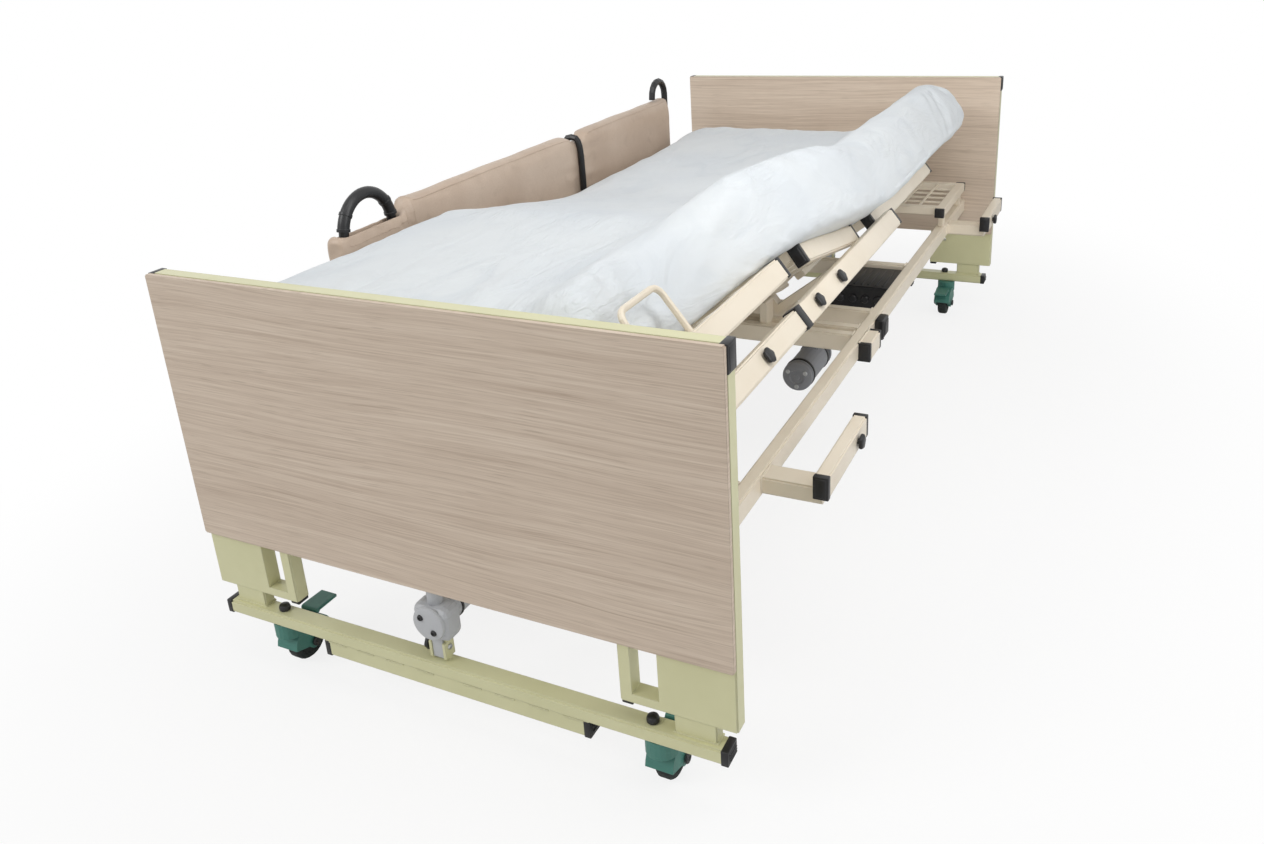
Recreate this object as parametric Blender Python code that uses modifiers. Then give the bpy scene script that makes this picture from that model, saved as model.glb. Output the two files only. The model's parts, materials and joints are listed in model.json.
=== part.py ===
"""Care bed with a lengthwise divided lying surface whose side wings tilt to turn the user.

Metres, +Z up, +Y towards the head end, origin on the floor under the middle of the bed.
Stored with the right wing raised, the knee bend slightly raised and the lift at its lowest.
"""
import math

import bmesh
import bpy
from mathutils import Matrix, Vector

for old in list(bpy.data.objects):
    bpy.data.objects.remove(old, do_unlink=True)

# overall
BED_LENGTH = 2.236
BED_WIDTH = 1.000
GAP = 0.0003

# bed ends
PANEL_T = 0.008
END_FRAME_T = 0.028
END_TOP = 0.746
PANEL_BOTTOM = 0.266
TOP_RAIL_H = 0.040
LEG_BOTTOM = 0.160
LEG_W = 0.185
LEG_BOX_W = 0.121
SLOT_W = 0.044
SLOT_FLOOR = 0.015
SLOT_H = 0.125
BOLT_HOLE_R = 0.006

# travelling base
BASE_BAR_L = 0.970
BASE_BAR_D = 0.034
BASE_BAR_H = 0.025
BASE_BAR_Z = 0.102
UNDER_BAR_L = 0.520
UNDER_BAR_H = 0.030
POST_W = 0.067
POST_D = 0.022
POST_INSET = 0.033
POST_H = 0.500
POST_CLEAR = 0.0005
LIFT_STROKE = 0.340

# lift actuators
LIFT_X = -0.020
LIFT_EYE_W = 0.021
LIFT_EAR_T = 0.005
LIFT_EAR_H = 0.040
GEARBOX_W = 0.070
GEARBOX_D = 0.043
GEARBOX_H = 0.062
GEARBOX_ROUND = 0.014
GEARBOX_INSET = 0.0005
MOTOR_R = 0.024
MOTOR_L = 0.085
LIFT_TUBE_R = 0.0125
LIFT_TUBE_TOP = 0.580
LIFT_ROD_R = 0.008
LIFT_ROD_SPARE = 0.040
ROD_BLOCK_W = 0.032
ROD_BLOCK_D = 0.022
ROD_BLOCK_H = 0.022
ROD_INTO_BLOCK = 0.012
LIFT_BORE_CLEAR = 0.0004

# castors
CASTOR_X = 0.370
CASTOR_INSET = 0.027
WHEEL_R = 0.0375
WHEEL_W = 0.028
CASTOR_TRAIL = 0.030
HOOD_R = 0.047
HOOD_W = 0.046
HOOD_SLOT_W = 0.031
HOOD_SLOT_R = 0.0395
SWIVEL_R = 0.026
AXLE_BOSS_R = 0.014
PEDAL_W = 0.036
PEDAL_BARREL_R = 0.005
PEDAL_REACH = 0.050
PEDAL_T = 0.005

# chassis
RAIL_OUT = 0.415
TUBE_W = 0.025
TUBE_H = 0.040
RAIL_TOP = 0.375
FOOT_CROSS_AT = 0.300
MID_CROSS_AT = 1.020
MID_CROSS_SPACING = 0.045
HEAD_CROSS_AT = 1.500
STUB_AT = 0.950
STUB_L = 0.090
DECK_L = 0.310
DECK_HEAD_GAP = 0.076
DECK_HALF = 0.420
WIRE_W = 0.005
WIRE_GAPS_X = 16
WIRE_GAPS_Y = 5
OUTRIGGER_X = 0.520
OUTRIGGER_TOP = 0.400
OUTRIGGER_L = 0.240
FOOT_OUTRIGGER_AT = 0.330
HEAD_OUTRIGGER_GAP = 0.096
ARM_W = 0.050
ARM_H = 0.030
ARM_OFFSET = 0.015
BOX_W = 0.180
BOX_L = 0.160
BOX_H = 0.055
BOX_DROP = 0.012
TURN_MOTOR_R = 0.034
TURN_MOTOR_L = 0.150
TURN_MOTOR_IN = 0.165
TURN_MOTOR_Z = 0.235

# lying surface
HINGE_X = 0.186
HINGE_Z = 0.417
HIP_AT = 1.150
THIGH_L = 0.500
KNEE_DEG = 10.0
RIGHT_TILT_DEG = 38.0
BACK_DECK_GAP = 0.035
HIP_MARGIN = 0.020
CALF_END = 0.080
BACK_WING_FROM = 1.226
THIGH_WING_FROM = 0.670
THIGH_WING_TO = 1.045
CALF_WING_TO = 0.590
WING_IN = 0.010
WING_TUBE_IN = 0.2125
BEAM_CLEAR = 0.018
BEAM_TOP = 0.0
BEAM_FROM = 0.120
BEAM_TO = 1.250
SMALL_TUBE = 0.025
SLAT_W = 0.020
SLAT_TOP = 0.0195
SLAT_PITCH = 0.110
CENTRE_OUT = 0.176
BARREL_R = 0.008
BARREL_TRIM = 0.0002
KNUCKLE_L = 0.025
KNUCKLE_GAP = 0.0005
BEAM_ARM_T = 0.018
LOOP_FROM = 0.105
LOOP_L = 0.125
LOOP_H = 0.086
LOOP_R = 0.0055

# mattress
MATT_T = 0.160
MATT_FROM = 0.060
MATT_HEAD_GAP = 0.136
MATT_LEFT = 0.449
MATT_R_HEAD = 0.350
MATT_R_FOOT = 0.200
MATT_SEAT = 0.0206
MATT_EDGE = 0.030
MATT_CROWN = 0.006

# side guard
GUARD_X = 0.4855
GUARD_T = 0.052
GUARD_BOTTOM = 0.452
GUARD_TOP = 0.722
GUARD_FROM = 0.410
POCKET_TO = 0.620
GUARD_HEAD_GAP = 0.286
POCKET_DROP = 0.030
RING_AT = 1.360
RING_R = 0.0085
RING_WAIST = 0.012
RING_CLEAR = 0.0010
CINCH = 0.60
RING_DRAW = 0.030
POCKET_WALL = 0.011
POCKET_DEPTH = 0.140
HOOP_R = 0.010
HOOP_TOP = 0.765
HEAD_HOOP_RISE = 0.060
HEAD_ARCH_R = 0.045
HEAD_POST_JOG = 0.060
GUARD_POST_W = 0.024

END_T = PANEL_T + END_FRAME_T
HALF_L = BED_LENGTH / 2
LIFT_ROD_FOOT = LIFT_TUBE_TOP - LIFT_STROKE - LIFT_ROD_SPARE
DECK_TO = BED_LENGTH - DECK_HEAD_GAP
DECK_FROM = DECK_TO - DECK_L
HEAD_OUTRIGGER_AT = BED_LENGTH - HEAD_OUTRIGGER_GAP - OUTRIGGER_L
TURN_MOTOR_X = RAIL_OUT - TURN_MOTOR_IN
BACK_END = DECK_FROM - BACK_DECK_GAP
MATT_TO = BED_LENGTH - MATT_HEAD_GAP
GUARD_TO = BED_LENGTH - GUARD_HEAD_GAP
BEAM_IN = WING_TUBE_IN + TUBE_W + BEAM_CLEAR
BEAM_ARM_TOP = -TUBE_H / 2 - 0.0005


def along(distance):
    """Y of a point given by its distance from the foot end's outer face."""
    return distance - HALF_L


parts = bpy.data.collections.new("turning_bed")
tools = bpy.data.collections.new("cutters")
bpy.context.scene.collection.children.link(parts)
bpy.context.scene.collection.children.link(tools)

PAINTS = {
    "laminate": ((0.52, 0.43, 0.34), 0.45, 0.0),
    "green_paint": ((0.66, 0.64, 0.40), 0.35, 0.0),
    "ivory_paint": ((0.84, 0.74, 0.60), 0.38, 0.0),
    "teal_plastic": ((0.07, 0.22, 0.19), 0.45, 0.0),
    "tread": ((0.02, 0.025, 0.025), 0.7, 0.0),
    "grey_plastic": ((0.48, 0.49, 0.51), 0.4, 0.0),
    "dark_plastic": ((0.03, 0.03, 0.032), 0.45, 0.0),
    "motor_grey": ((0.16, 0.16, 0.17), 0.5, 0.0),
    "steel": ((0.6, 0.6, 0.6), 0.3, 1.0),
    "sheet": ((0.80, 0.83, 0.86), 0.9, 0.0),
    "vinyl": ((0.60, 0.48, 0.39), 0.5, 0.0),
}


def paint(name):
    mat = bpy.data.materials.get(name)
    if mat is None:
        colour, rough, metal = PAINTS[name]
        mat = bpy.data.materials.new(name)
        mat.use_nodes = True
        shader = mat.node_tree.nodes["Principled BSDF"]
        shader.inputs["Base Color"].default_value = (*colour, 1.0)
        shader.inputs["Roughness"].default_value = rough
        shader.inputs["Metallic"].default_value = metal
    return mat


def temp(bm, name="piece"):
    """A loose object in the cutters' collection, kept out of the part."""
    mesh = bpy.data.meshes.new(name)
    bmesh.ops.recalc_face_normals(bm, faces=bm.faces)
    bm.to_mesh(mesh)
    bm.free()
    obj = bpy.data.objects.new(name, mesh)
    obj.hide_render = True
    obj.display_type = "WIRE"
    tools.objects.link(obj)
    return obj


def bar(lo, hi, axis=None, rounding=0.0):
    """A box between two corners. Its edges along axis are rounded by a small chamfer."""
    low = Vector([min(a, b) for a, b in zip(lo, hi)])
    high = Vector([max(a, b) for a, b in zip(lo, hi)])
    bm = bmesh.new()
    size = high - low
    place = Matrix.Translation((low + high) / 2) @ Matrix.Diagonal((*size, 1.0))
    bmesh.ops.create_cube(bm, size=1.0, matrix=place)
    if axis is not None and rounding > 0:
        way = Vector([float(axis == k) for k in "xyz"])
        edges = [
            e for e in bm.edges
            if abs((e.verts[1].co - e.verts[0].co).normalized().dot(way)) > 0.99
        ]
        bmesh.ops.bevel(bm, geom=edges, offset=rounding, segments=2, affect="EDGES")
    return temp(bm)


def barrel(start, end):
    """A hinge barrel, a hair shorter than the lug that carries it."""
    start, end = Vector(start), Vector(end)
    trim = (end - start).normalized() * BARREL_TRIM
    return rod(start + trim, end - trim, BARREL_R)


def rod(start, end, radius, sides=16):
    """A round bar between two points."""
    start, end = Vector(start), Vector(end)
    way = end - start
    bm = bmesh.new()
    turn = way.to_track_quat("Z", "Y").to_matrix().to_4x4()
    bmesh.ops.create_cone(
        bm, cap_ends=True, segments=sides, radius1=radius, radius2=radius,
        depth=way.length, matrix=Matrix.Translation((start + end) / 2) @ turn,
    )
    return temp(bm)


def outline(points, thickness):
    """A flat outline in the XY plane, thickened evenly about that plane."""
    curve = bpy.data.curves.new("outline", "CURVE")
    curve.dimensions = "2D"
    curve.fill_mode = "BOTH"
    curve.extrude = thickness / 2
    spline = curve.splines.new("POLY")
    spline.points.add(len(points) - 1)
    for point, (x, y) in zip(spline.points, points):
        point.co = (x, y, 0.0, 1.0)
    spline.use_cyclic_u = True
    return meshed(curve)


def wire(points, radius, cyclic=False, resolution=2):
    """A bent round bar through points."""
    curve = bpy.data.curves.new("wire", "CURVE")
    curve.dimensions = "3D"
    curve.bevel_depth = radius
    curve.bevel_resolution = resolution
    curve.use_fill_caps = not cyclic
    spline = curve.splines.new("POLY")
    spline.points.add(len(points) - 1)
    for point, co in zip(spline.points, points):
        point.co = (*co, 1.0)
    spline.use_cyclic_u = cyclic
    return meshed(curve)


def meshed(curve):
    """A curve made into a closed mesh, its caps welded to its walls."""
    obj = bpy.data.objects.new("curve", curve)
    tools.objects.link(obj)
    graph = bpy.context.evaluated_depsgraph_get()
    mesh = bpy.data.meshes.new_from_object(obj.evaluated_get(graph))
    bpy.data.objects.remove(obj, do_unlink=True)
    bm = bmesh.new()
    bm.from_mesh(mesh)
    bmesh.ops.remove_doubles(bm, verts=bm.verts, dist=0.00002)
    return temp(bm)


def turned(profile, steps=24):
    """A profile of (radius, height) points from top to bottom, turned about Z."""
    mesh = bpy.data.meshes.new("profile")
    mesh.from_pydata(
        [(r, 0.0, z) for r, z in profile], [(k, k + 1) for k in range(len(profile) - 1)], []
    )
    obj = bpy.data.objects.new("profile", mesh)
    tools.objects.link(obj)
    screw = obj.modifiers.new("turn", "SCREW")
    screw.axis = "Z"
    screw.steps = screw.render_steps = steps
    screw.use_merge_vertices = True
    screw.merge_threshold = 0.00002
    graph = bpy.context.evaluated_depsgraph_get()
    solid = bpy.data.meshes.new_from_object(obj.evaluated_get(graph))
    bpy.data.objects.remove(obj, do_unlink=True)
    bm = bmesh.new()
    bm.from_mesh(solid)
    bmesh.ops.remove_doubles(bm, verts=bm.verts, dist=0.00002)
    return temp(bm)


def loft(rings):
    """A closed skin through rings of equally many points, with flat ends."""
    bm = bmesh.new()
    rows = [[bm.verts.new(co) for co in ring] for ring in rings]
    count = len(rows[0])
    for a, b in zip(rows, rows[1:]):
        for k in range(count):
            bm.faces.new((a[k], a[(k + 1) % count], b[(k + 1) % count], b[k]))
    bm.faces.new(rows[0])
    bm.faces.new(list(reversed(rows[-1])))
    return temp(bm)


def moved(obj, matrix):
    obj.data.transform(matrix)
    if matrix.determinant() < 0:
        obj.data.flip_normals()
    return obj


def build(name, colour, pieces, cuts=(), pivot=None, smooth=False, soft=False):
    """Weld pieces into one body, take the cuts out of it and hang it on its pivot.

    Flat faces are merged, except on a soft form, which keeps its crown.
    """
    body = pieces[0]
    for other, operation in [(p, "UNION") for p in pieces[1:]] + [(c, "DIFFERENCE") for c in cuts]:
        step = body.modifiers.new(operation.lower(), "BOOLEAN")
        step.operation = operation
        step.solver = "EXACT"
        step.object = other
    graph = bpy.context.evaluated_depsgraph_get()
    mesh = bpy.data.meshes.new_from_object(body.evaluated_get(graph))
    for used in (*pieces, *cuts):
        bpy.data.objects.remove(used, do_unlink=True)
    bm = bmesh.new()
    bm.from_mesh(mesh)
    bmesh.ops.remove_doubles(bm, verts=bm.verts, dist=0.000001)
    if not soft:
        bmesh.ops.dissolve_limit(
            bm, angle_limit=math.radians(0.5), verts=bm.verts, edges=bm.edges
        )
    bm.to_mesh(mesh)
    bm.free()
    mesh.name = name
    mesh.materials.clear()
    mesh.materials.append(paint(colour))
    if smooth:
        mesh.shade_smooth()
        mesh.set_sharp_from_angle(angle=math.radians(35))
    obj = bpy.data.objects.new(name, mesh)
    parts.objects.link(obj)
    if pivot is not None:
        obj.parent = pivot
    return obj


def pivot(name, place, parent=None, turn=(0.0, 0.0, 0.0)):
    """An empty on a joint's axis."""
    empty = bpy.data.objects.new(name, None)
    empty.location = place
    empty.rotation_euler = [math.radians(a) for a in turn]
    empty.empty_display_size = 0.05
    parts.objects.link(empty)
    empty.parent = parent
    return empty


def bed_end(word, front, slotted):
    """Panel, top rail and the two legs of one end. The panel is on its foot-side face, at front."""
    face = front + PANEL_T
    back = front + END_T
    half = BED_WIDTH / 2
    build(f"{word}_panel", "laminate", [
        bar((-half, front, PANEL_BOTTOM), (half, face, END_TOP), "y", 0.002),
    ])
    build(f"{word}_top_rail", "green_paint", [
        bar((-half, face + GAP, END_TOP - TOP_RAIL_H), (half, back, END_TOP), "x", 0.003),
    ])
    post_mid = (face + back) / 2
    top = END_TOP - TOP_RAIL_H - GAP
    for side, hand in ((-1, "left"), (1, "right")):
        shape = bar(
            (side * half, face + GAP, LEG_BOTTOM), (side * (half - LEG_W), back, top),
            "z", 0.002,
        )
        post_x = side * (half - POST_INSET - POST_W / 2)
        reach = POST_W / 2 + POST_CLEAR
        deep = POST_D / 2 + POST_CLEAR
        cuts = [bar(
            (post_x - reach, post_mid - deep, LEG_BOTTOM - 0.01),
            (post_x + reach, post_mid + deep, BASE_BAR_Z + BASE_BAR_H + POST_H + 0.02),
        )]
        slot_out = half - LEG_BOX_W
        if slotted:
            cuts.append(bar(
                (side * slot_out, face - 0.01, LEG_BOTTOM + SLOT_FLOOR),
                (side * (slot_out - SLOT_W), back + 0.01, LEG_BOTTOM + SLOT_FLOOR + SLOT_H),
            ))
        else:
            hole = (side * (slot_out - SLOT_W / 2), LEG_BOTTOM + SLOT_FLOOR + SLOT_H / 2)
            cuts.append(rod(
                (hole[0], face - 0.01, hole[1]), (hole[0], back + 0.01, hole[1]),
                BOLT_HOLE_R, 12,
            ))
        build(f"{word}_leg_{hand}", "green_paint", [shape], cuts)


def travelling_base(word, mirror):
    """Floor bar with its under-bar, the two posts and the lift of one end.

    mirror is -1 at the foot and 1 at the head.
    """
    slide = pivot(f"{word}_base_slide", (0.0, mirror * (HALF_L - END_T / 2), 0.0))
    face = -END_T / 2
    back = face + BASE_BAR_D
    bar_top = BASE_BAR_Z + BASE_BAR_H
    lift_mid = PANEL_T / 2
    ears = [
        bar(
            (LIFT_X + k * (LIFT_EYE_W / 2 + GAP), lift_mid - 0.012, bar_top - 0.002),
            (LIFT_X + k * (LIFT_EYE_W / 2 + GAP + LIFT_EAR_T), lift_mid + 0.012, bar_top + LIFT_EAR_H),
            "x", 0.006,
        )
        for k in (-1, 1)
    ]
    build(f"{word}_base_bar", "green_paint", [
        bar((-BASE_BAR_L / 2, face, BASE_BAR_Z), (BASE_BAR_L / 2, back, bar_top), "x", 0.003),
        bar(
            (-UNDER_BAR_L / 2, face + 0.002, BASE_BAR_Z - UNDER_BAR_H),
            (UNDER_BAR_L / 2, back - 0.002, BASE_BAR_Z + 0.004), "x", 0.003,
        ),
        *ears,
    ], pivot=slide)
    half = BED_WIDTH / 2
    for side, hand in ((-1, "left"), (1, "right")):
        post_x = side * (half - POST_INSET - POST_W / 2)
        build(f"{word}_post_{hand}", "green_paint", [bar(
            (post_x - POST_W / 2, lift_mid - POST_D / 2, bar_top + GAP),
            (post_x + POST_W / 2, lift_mid + POST_D / 2, bar_top + POST_H), "z", 0.002,
        )], pivot=slide)
    lift(word, mirror, slide, lift_mid, bar_top)
    return slide


def lift(word, mirror, slide, mid, bar_top):
    """Gear housing, motor and outer tube on the base. The rod hangs from the top rail."""
    eye_top = bar_top + LIFT_EAR_H + 0.004
    housing_top = eye_top + GEARBOX_H
    outer = mirror * (END_T / 2 - GEARBOX_INSET)
    inner = outer - mirror * GEARBOX_D
    housing = bar(
        (LIFT_X - GEARBOX_W / 2, outer, eye_top), (LIFT_X + GEARBOX_W / 2, inner, housing_top)
    )
    shell = housing.modifiers.new("rounding", "BEVEL")
    shell.width, shell.segments = GEARBOX_ROUND, 3
    pieces = [
        housing,
        bar(
            (LIFT_X - LIFT_EYE_W / 2, mid - 0.010, bar_top + GAP),
            (LIFT_X + LIFT_EYE_W / 2, mid + 0.010, eye_top + 0.01), "x", 0.004,
        ),
        rod(
            (LIFT_X, inner + mirror * 0.01, eye_top + GEARBOX_H * 0.55),
            (LIFT_X, inner - mirror * MOTOR_L, eye_top + GEARBOX_H * 0.55), MOTOR_R, 24,
        ),
        rod((LIFT_X, mid, housing_top - 0.01), (LIFT_X, mid, LIFT_TUBE_TOP), LIFT_TUBE_R, 20),
    ]
    bore = rod(
        (LIFT_X, mid, LIFT_ROD_FOOT - 0.01), (LIFT_X, mid, LIFT_TUBE_TOP + 0.01),
        LIFT_ROD_R + LIFT_BORE_CLEAR, 16,
    )
    build(f"{word}_lift_motor", "grey_plastic", pieces, [bore], slide, smooth=True)
    rail_under = END_TOP - TOP_RAIL_H - GAP
    place = mirror * (HALF_L - END_T / 2)
    build(f"{word}_lift_rod", "steel", [
        rod(
            (LIFT_X, place + mid, LIFT_ROD_FOOT),
            (LIFT_X, place + mid, rail_under - ROD_BLOCK_H + ROD_INTO_BLOCK), LIFT_ROD_R, 16,
        ),
        bar(
            (LIFT_X - ROD_BLOCK_W / 2, place + mid - ROD_BLOCK_D / 2, rail_under - ROD_BLOCK_H),
            (LIFT_X + ROD_BLOCK_W / 2, place + mid + ROD_BLOCK_D / 2, rail_under), "y", 0.004,
        ),
    ], smooth=True)


def castor(word, side, mirror, slide):
    """Hooded swivel castor: hood, wheel and brake pedal, trailing towards the bed's middle."""
    mid = mirror * (END_T / 2 - CASTOR_INSET)
    swivel = pivot(
        f"castor_{word}_swivel", (side * CASTOR_X, mid, 0.0), slide,
        (0.0, 0.0, 0.0 if mirror < 0 else 180.0),
    )
    top = BASE_BAR_Z - GAP
    arc = [math.radians(a) for a in range(172, 7, -12)]
    boss = [math.radians(a) for a in range(-20, -161, -20)]
    points = [(CASTOR_TRAIL + HOOD_R * math.cos(a), WHEEL_R + HOOD_R * math.sin(a)) for a in arc]
    points += [
        (CASTOR_TRAIL + AXLE_BOSS_R * math.cos(a), WHEEL_R + AXLE_BOSS_R * math.sin(a)) for a in boss
    ]
    upright = Matrix.Rotation(math.radians(90), 4, "Z") @ Matrix.Rotation(math.radians(90), 4, "X")
    hood = moved(outline(points, HOOD_W), upright)
    slot = rod(
        (-HOOD_SLOT_W / 2, CASTOR_TRAIL, WHEEL_R), (HOOD_SLOT_W / 2, CASTOR_TRAIL, WHEEL_R),
        HOOD_SLOT_R, 28,
    )
    neck = rod((0.0, 0.0, WHEEL_R + HOOD_R * 0.72), (0.0, 0.0, top), SWIVEL_R, 20)
    build(f"castor_{word}_fork", "teal_plastic", [hood, neck], [slot], swivel, smooth=True)

    axle = pivot(f"castor_{word}_axle", (0.0, CASTOR_TRAIL, WHEEL_R), swivel, (0.0, 90.0, 0.0))
    hub_half = HOOD_SLOT_W / 2 - GAP
    rim = WHEEL_R - 0.010
    wheel = turned([
        (0.0, hub_half), (0.011, hub_half), (0.013, WHEEL_W * 0.36), (rim - 0.003, WHEEL_W * 0.36),
        (rim, WHEEL_W * 0.46), (WHEEL_R - 0.003, WHEEL_W * 0.44), (WHEEL_R, WHEEL_W * 0.30),
        (WHEEL_R, -WHEEL_W * 0.30), (WHEEL_R - 0.003, -WHEEL_W * 0.44), (rim, -WHEEL_W * 0.46),
        (rim - 0.003, -WHEEL_W * 0.36), (0.013, -WHEEL_W * 0.36), (0.011, -hub_half), (0.0, -hub_half),
    ], 24)
    build(f"castor_{word}_wheel", "tread", [wheel], pivot=axle, smooth=True)

    lean = math.radians(64)
    reach = HOOD_R + PEDAL_BARREL_R + GAP * 2
    pin = (CASTOR_TRAIL + reach * math.cos(lean), WHEEL_R + reach * math.sin(lean))
    hinge = pivot(f"castor_{word}_pedal_pin", (0.0, *pin), swivel)
    tongue = [
        (0.0, PEDAL_BARREL_R), (PEDAL_REACH, PEDAL_BARREL_R - 0.002),
        (PEDAL_REACH, PEDAL_BARREL_R - 0.002 - PEDAL_T), (0.0, PEDAL_BARREL_R - PEDAL_T - 0.002),
    ]
    build(f"castor_{word}_pedal", "teal_plastic", [
        moved(outline(tongue, PEDAL_W), upright),
        rod((-PEDAL_W / 2, 0.0, 0.0), (PEDAL_W / 2, 0.0, 0.0), PEDAL_BARREL_R, 14),
    ], pivot=hinge, smooth=True)


def chassis():
    """Side rails between the bed ends, cross members with hinge risers, and the head deck."""
    near, far = along(END_T + GAP), along(BED_LENGTH - END_T - GAP)
    low = RAIL_TOP - TUBE_H
    inside = RAIL_OUT - TUBE_W
    for side, hand in ((-1, "left"), (1, "right")):
        build(f"rail_{hand}", "ivory_paint", [
            bar((side * inside, near, low), (side * RAIL_OUT, far, RAIL_TOP), "y", 0.003),
            bar(
                (side * (RAIL_OUT - 0.002), along(STUB_AT), low - 0.002),
                (side * (RAIL_OUT + TUBE_W), along(STUB_AT + STUB_L), RAIL_TOP - 0.002), "y", 0.003,
            ),
        ])
    reach = inside - GAP

    def cross(at, width=TUBE_W):
        return bar(
            (-reach, along(at - width / 2), low), (reach, along(at + width / 2), RAIL_TOP), "x", 0.003
        )

    def risers(at, length):
        made = []
        for side in (-1, 1):
            made.append(bar(
                (side * (HINGE_X - BARREL_R), along(at - length / 2), low + 0.01),
                (side * (HINGE_X + BARREL_R), along(at + length / 2), HINGE_Z),
            ))
            made.append(barrel(
                (side * HINGE_X, along(at - length / 2), HINGE_Z),
                (side * HINGE_X, along(at + length / 2), HINGE_Z),
            ))
        return made

    build("foot_cross", "ivory_paint", [cross(FOOT_CROSS_AT), *risers(FOOT_CROSS_AT, TUBE_W)])
    half = MID_CROSS_SPACING / 2
    build("mid_cross", "ivory_paint", [
        cross(MID_CROSS_AT - half), cross(MID_CROSS_AT + half),
        bar(
            (-0.03, along(MID_CROSS_AT - half), low + 0.006),
            (0.03, along(MID_CROSS_AT + half), RAIL_TOP - 0.006),
        ),
        *risers(MID_CROSS_AT, MID_CROSS_SPACING),
    ])
    hip = [cross(HIP_AT)]
    a, b = lug_x(0) - KNUCKLE_L / 2, lug_x(0) + KNUCKLE_L / 2
    for side in (-1, 1):
        hip.append(bar(
            (side * a, along(HIP_AT) - BARREL_R, RAIL_TOP - 0.02),
            (side * b, along(HIP_AT) + BARREL_R, HINGE_Z),
        ))
        hip.append(barrel((side * a, along(HIP_AT), HINGE_Z), (side * b, along(HIP_AT), HINGE_Z)))
    build("hip_cross", "ivory_paint", hip)
    build("head_cross", "ivory_paint", [cross(HEAD_CROSS_AT)])

    deck_top = HINGE_Z + SLAT_TOP
    frame_low = deck_top - SMALL_TUBE
    a, b = along(DECK_FROM), along(DECK_TO)
    inner = DECK_HALF - SMALL_TUBE
    pitch_x = (2 * inner - WIRE_W) / WIRE_GAPS_X
    pitch_y = (b - a - 2 * SMALL_TUBE - WIRE_W) / WIRE_GAPS_Y
    wires = []
    wire_top = deck_top - 0.001
    for i in range(1, WIRE_GAPS_X):
        x = -inner + i * pitch_x
        wires.append(bar(
            (x, a + SMALL_TUBE - 0.004, wire_top - WIRE_W),
            (x + WIRE_W, b - SMALL_TUBE + 0.004, wire_top),
        ))
    for j in range(1, WIRE_GAPS_Y):
        y = a + SMALL_TUBE + j * pitch_y
        wires.append(bar(
            (-inner - 0.004, y, wire_top - WIRE_W * 1.5),
            (inner + 0.004, y + WIRE_W, wire_top - WIRE_W * 0.5),
        ))
    sides = []
    for side in (-1, 1):
        sides.append(bar(
            (side * inner, a - 0.02, frame_low), (side * DECK_HALF, b, deck_top), "y", 0.002
        ))
        for at in (a + 0.02, b - 0.045):
            sides.append(bar(
                (side * (inner + 0.003), at, RAIL_TOP + GAP),
                (side * (RAIL_OUT - 0.003), at + SMALL_TUBE, frame_low + 0.01),
            ))
    ends = [
        bar(
            (-inner - 0.01, y, frame_low + 0.001), (inner + 0.01, y + SMALL_TUBE, deck_top - 0.0005),
            "x", 0.002,
        )
        for y in (a, b - SMALL_TUBE)
    ]
    build("head_deck", "ivory_paint", [*sides, *ends, *wires])

    arm_low = RAIL_TOP - TUBE_H + 0.006
    for word, at in (("foot", FOOT_OUTRIGGER_AT), ("head", HEAD_OUTRIGGER_AT)):
        for side, hand in ((-1, "left"), (1, "right")):
            build(f"outrigger_{word}_{hand}", "ivory_paint", [
                bar(
                    (side * (OUTRIGGER_X - TUBE_W / 2), along(at), OUTRIGGER_TOP - TUBE_H),
                    (side * (OUTRIGGER_X + TUBE_W / 2), along(at + OUTRIGGER_L), OUTRIGGER_TOP), "y", 0.003,
                ),
                bar(
                    (side * (RAIL_OUT + GAP), along(at + ARM_OFFSET), arm_low),
                    (side * (OUTRIGGER_X - 0.002), along(at + ARM_OFFSET + ARM_W), arm_low + ARM_H),
                    "x", 0.003,
                ),
            ])

    cross_face = along(HEAD_CROSS_AT - TUBE_W / 2) - GAP
    build("control_box", "dark_plastic", [bar(
        (inside - GAP - BOX_W, cross_face - BOX_L, RAIL_TOP - BOX_DROP - BOX_H),
        (inside - GAP, cross_face, RAIL_TOP - BOX_DROP), "z", 0.008,
    )])
    hip_under = RAIL_TOP - TUBE_H - GAP
    motor_y = along(HIP_AT)
    build("turning_motor", "motor_grey", [
        moved(turned([
            (0.0, TURN_MOTOR_L / 2), (TURN_MOTOR_R * 0.72, TURN_MOTOR_L / 2),
            (TURN_MOTOR_R, TURN_MOTOR_L / 2 - 0.012),
            (TURN_MOTOR_R, -TURN_MOTOR_L / 2 + 0.02), (TURN_MOTOR_R * 0.8, -TURN_MOTOR_L / 2),
            (0.0, -TURN_MOTOR_L / 2),
        ], 24), Matrix.Translation((TURN_MOTOR_X, motor_y - 0.03, TURN_MOTOR_Z))
            @ Matrix.Rotation(math.radians(90), 4, "X")),
        bar(
            (TURN_MOTOR_X - 0.018, motor_y - 0.011, TURN_MOTOR_Z),
            (TURN_MOTOR_X + 0.018, motor_y + 0.011, hip_under), "z", 0.003,
        ),
    ], smooth=True)


def lug_x(order):
    """Middle of the hip knuckle of the chassis (0), the back (1) and the thigh (-1)."""
    return 0.100 + order * (KNUCKLE_L + KNUCKLE_GAP)


def spread(start, stop):
    """Middles of slats along a section, both ends included."""
    count = max(2, round((stop - start) / SLAT_PITCH) + 1)
    return [start + (stop - start) * k / (count - 1) for k in range(count)]


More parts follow.
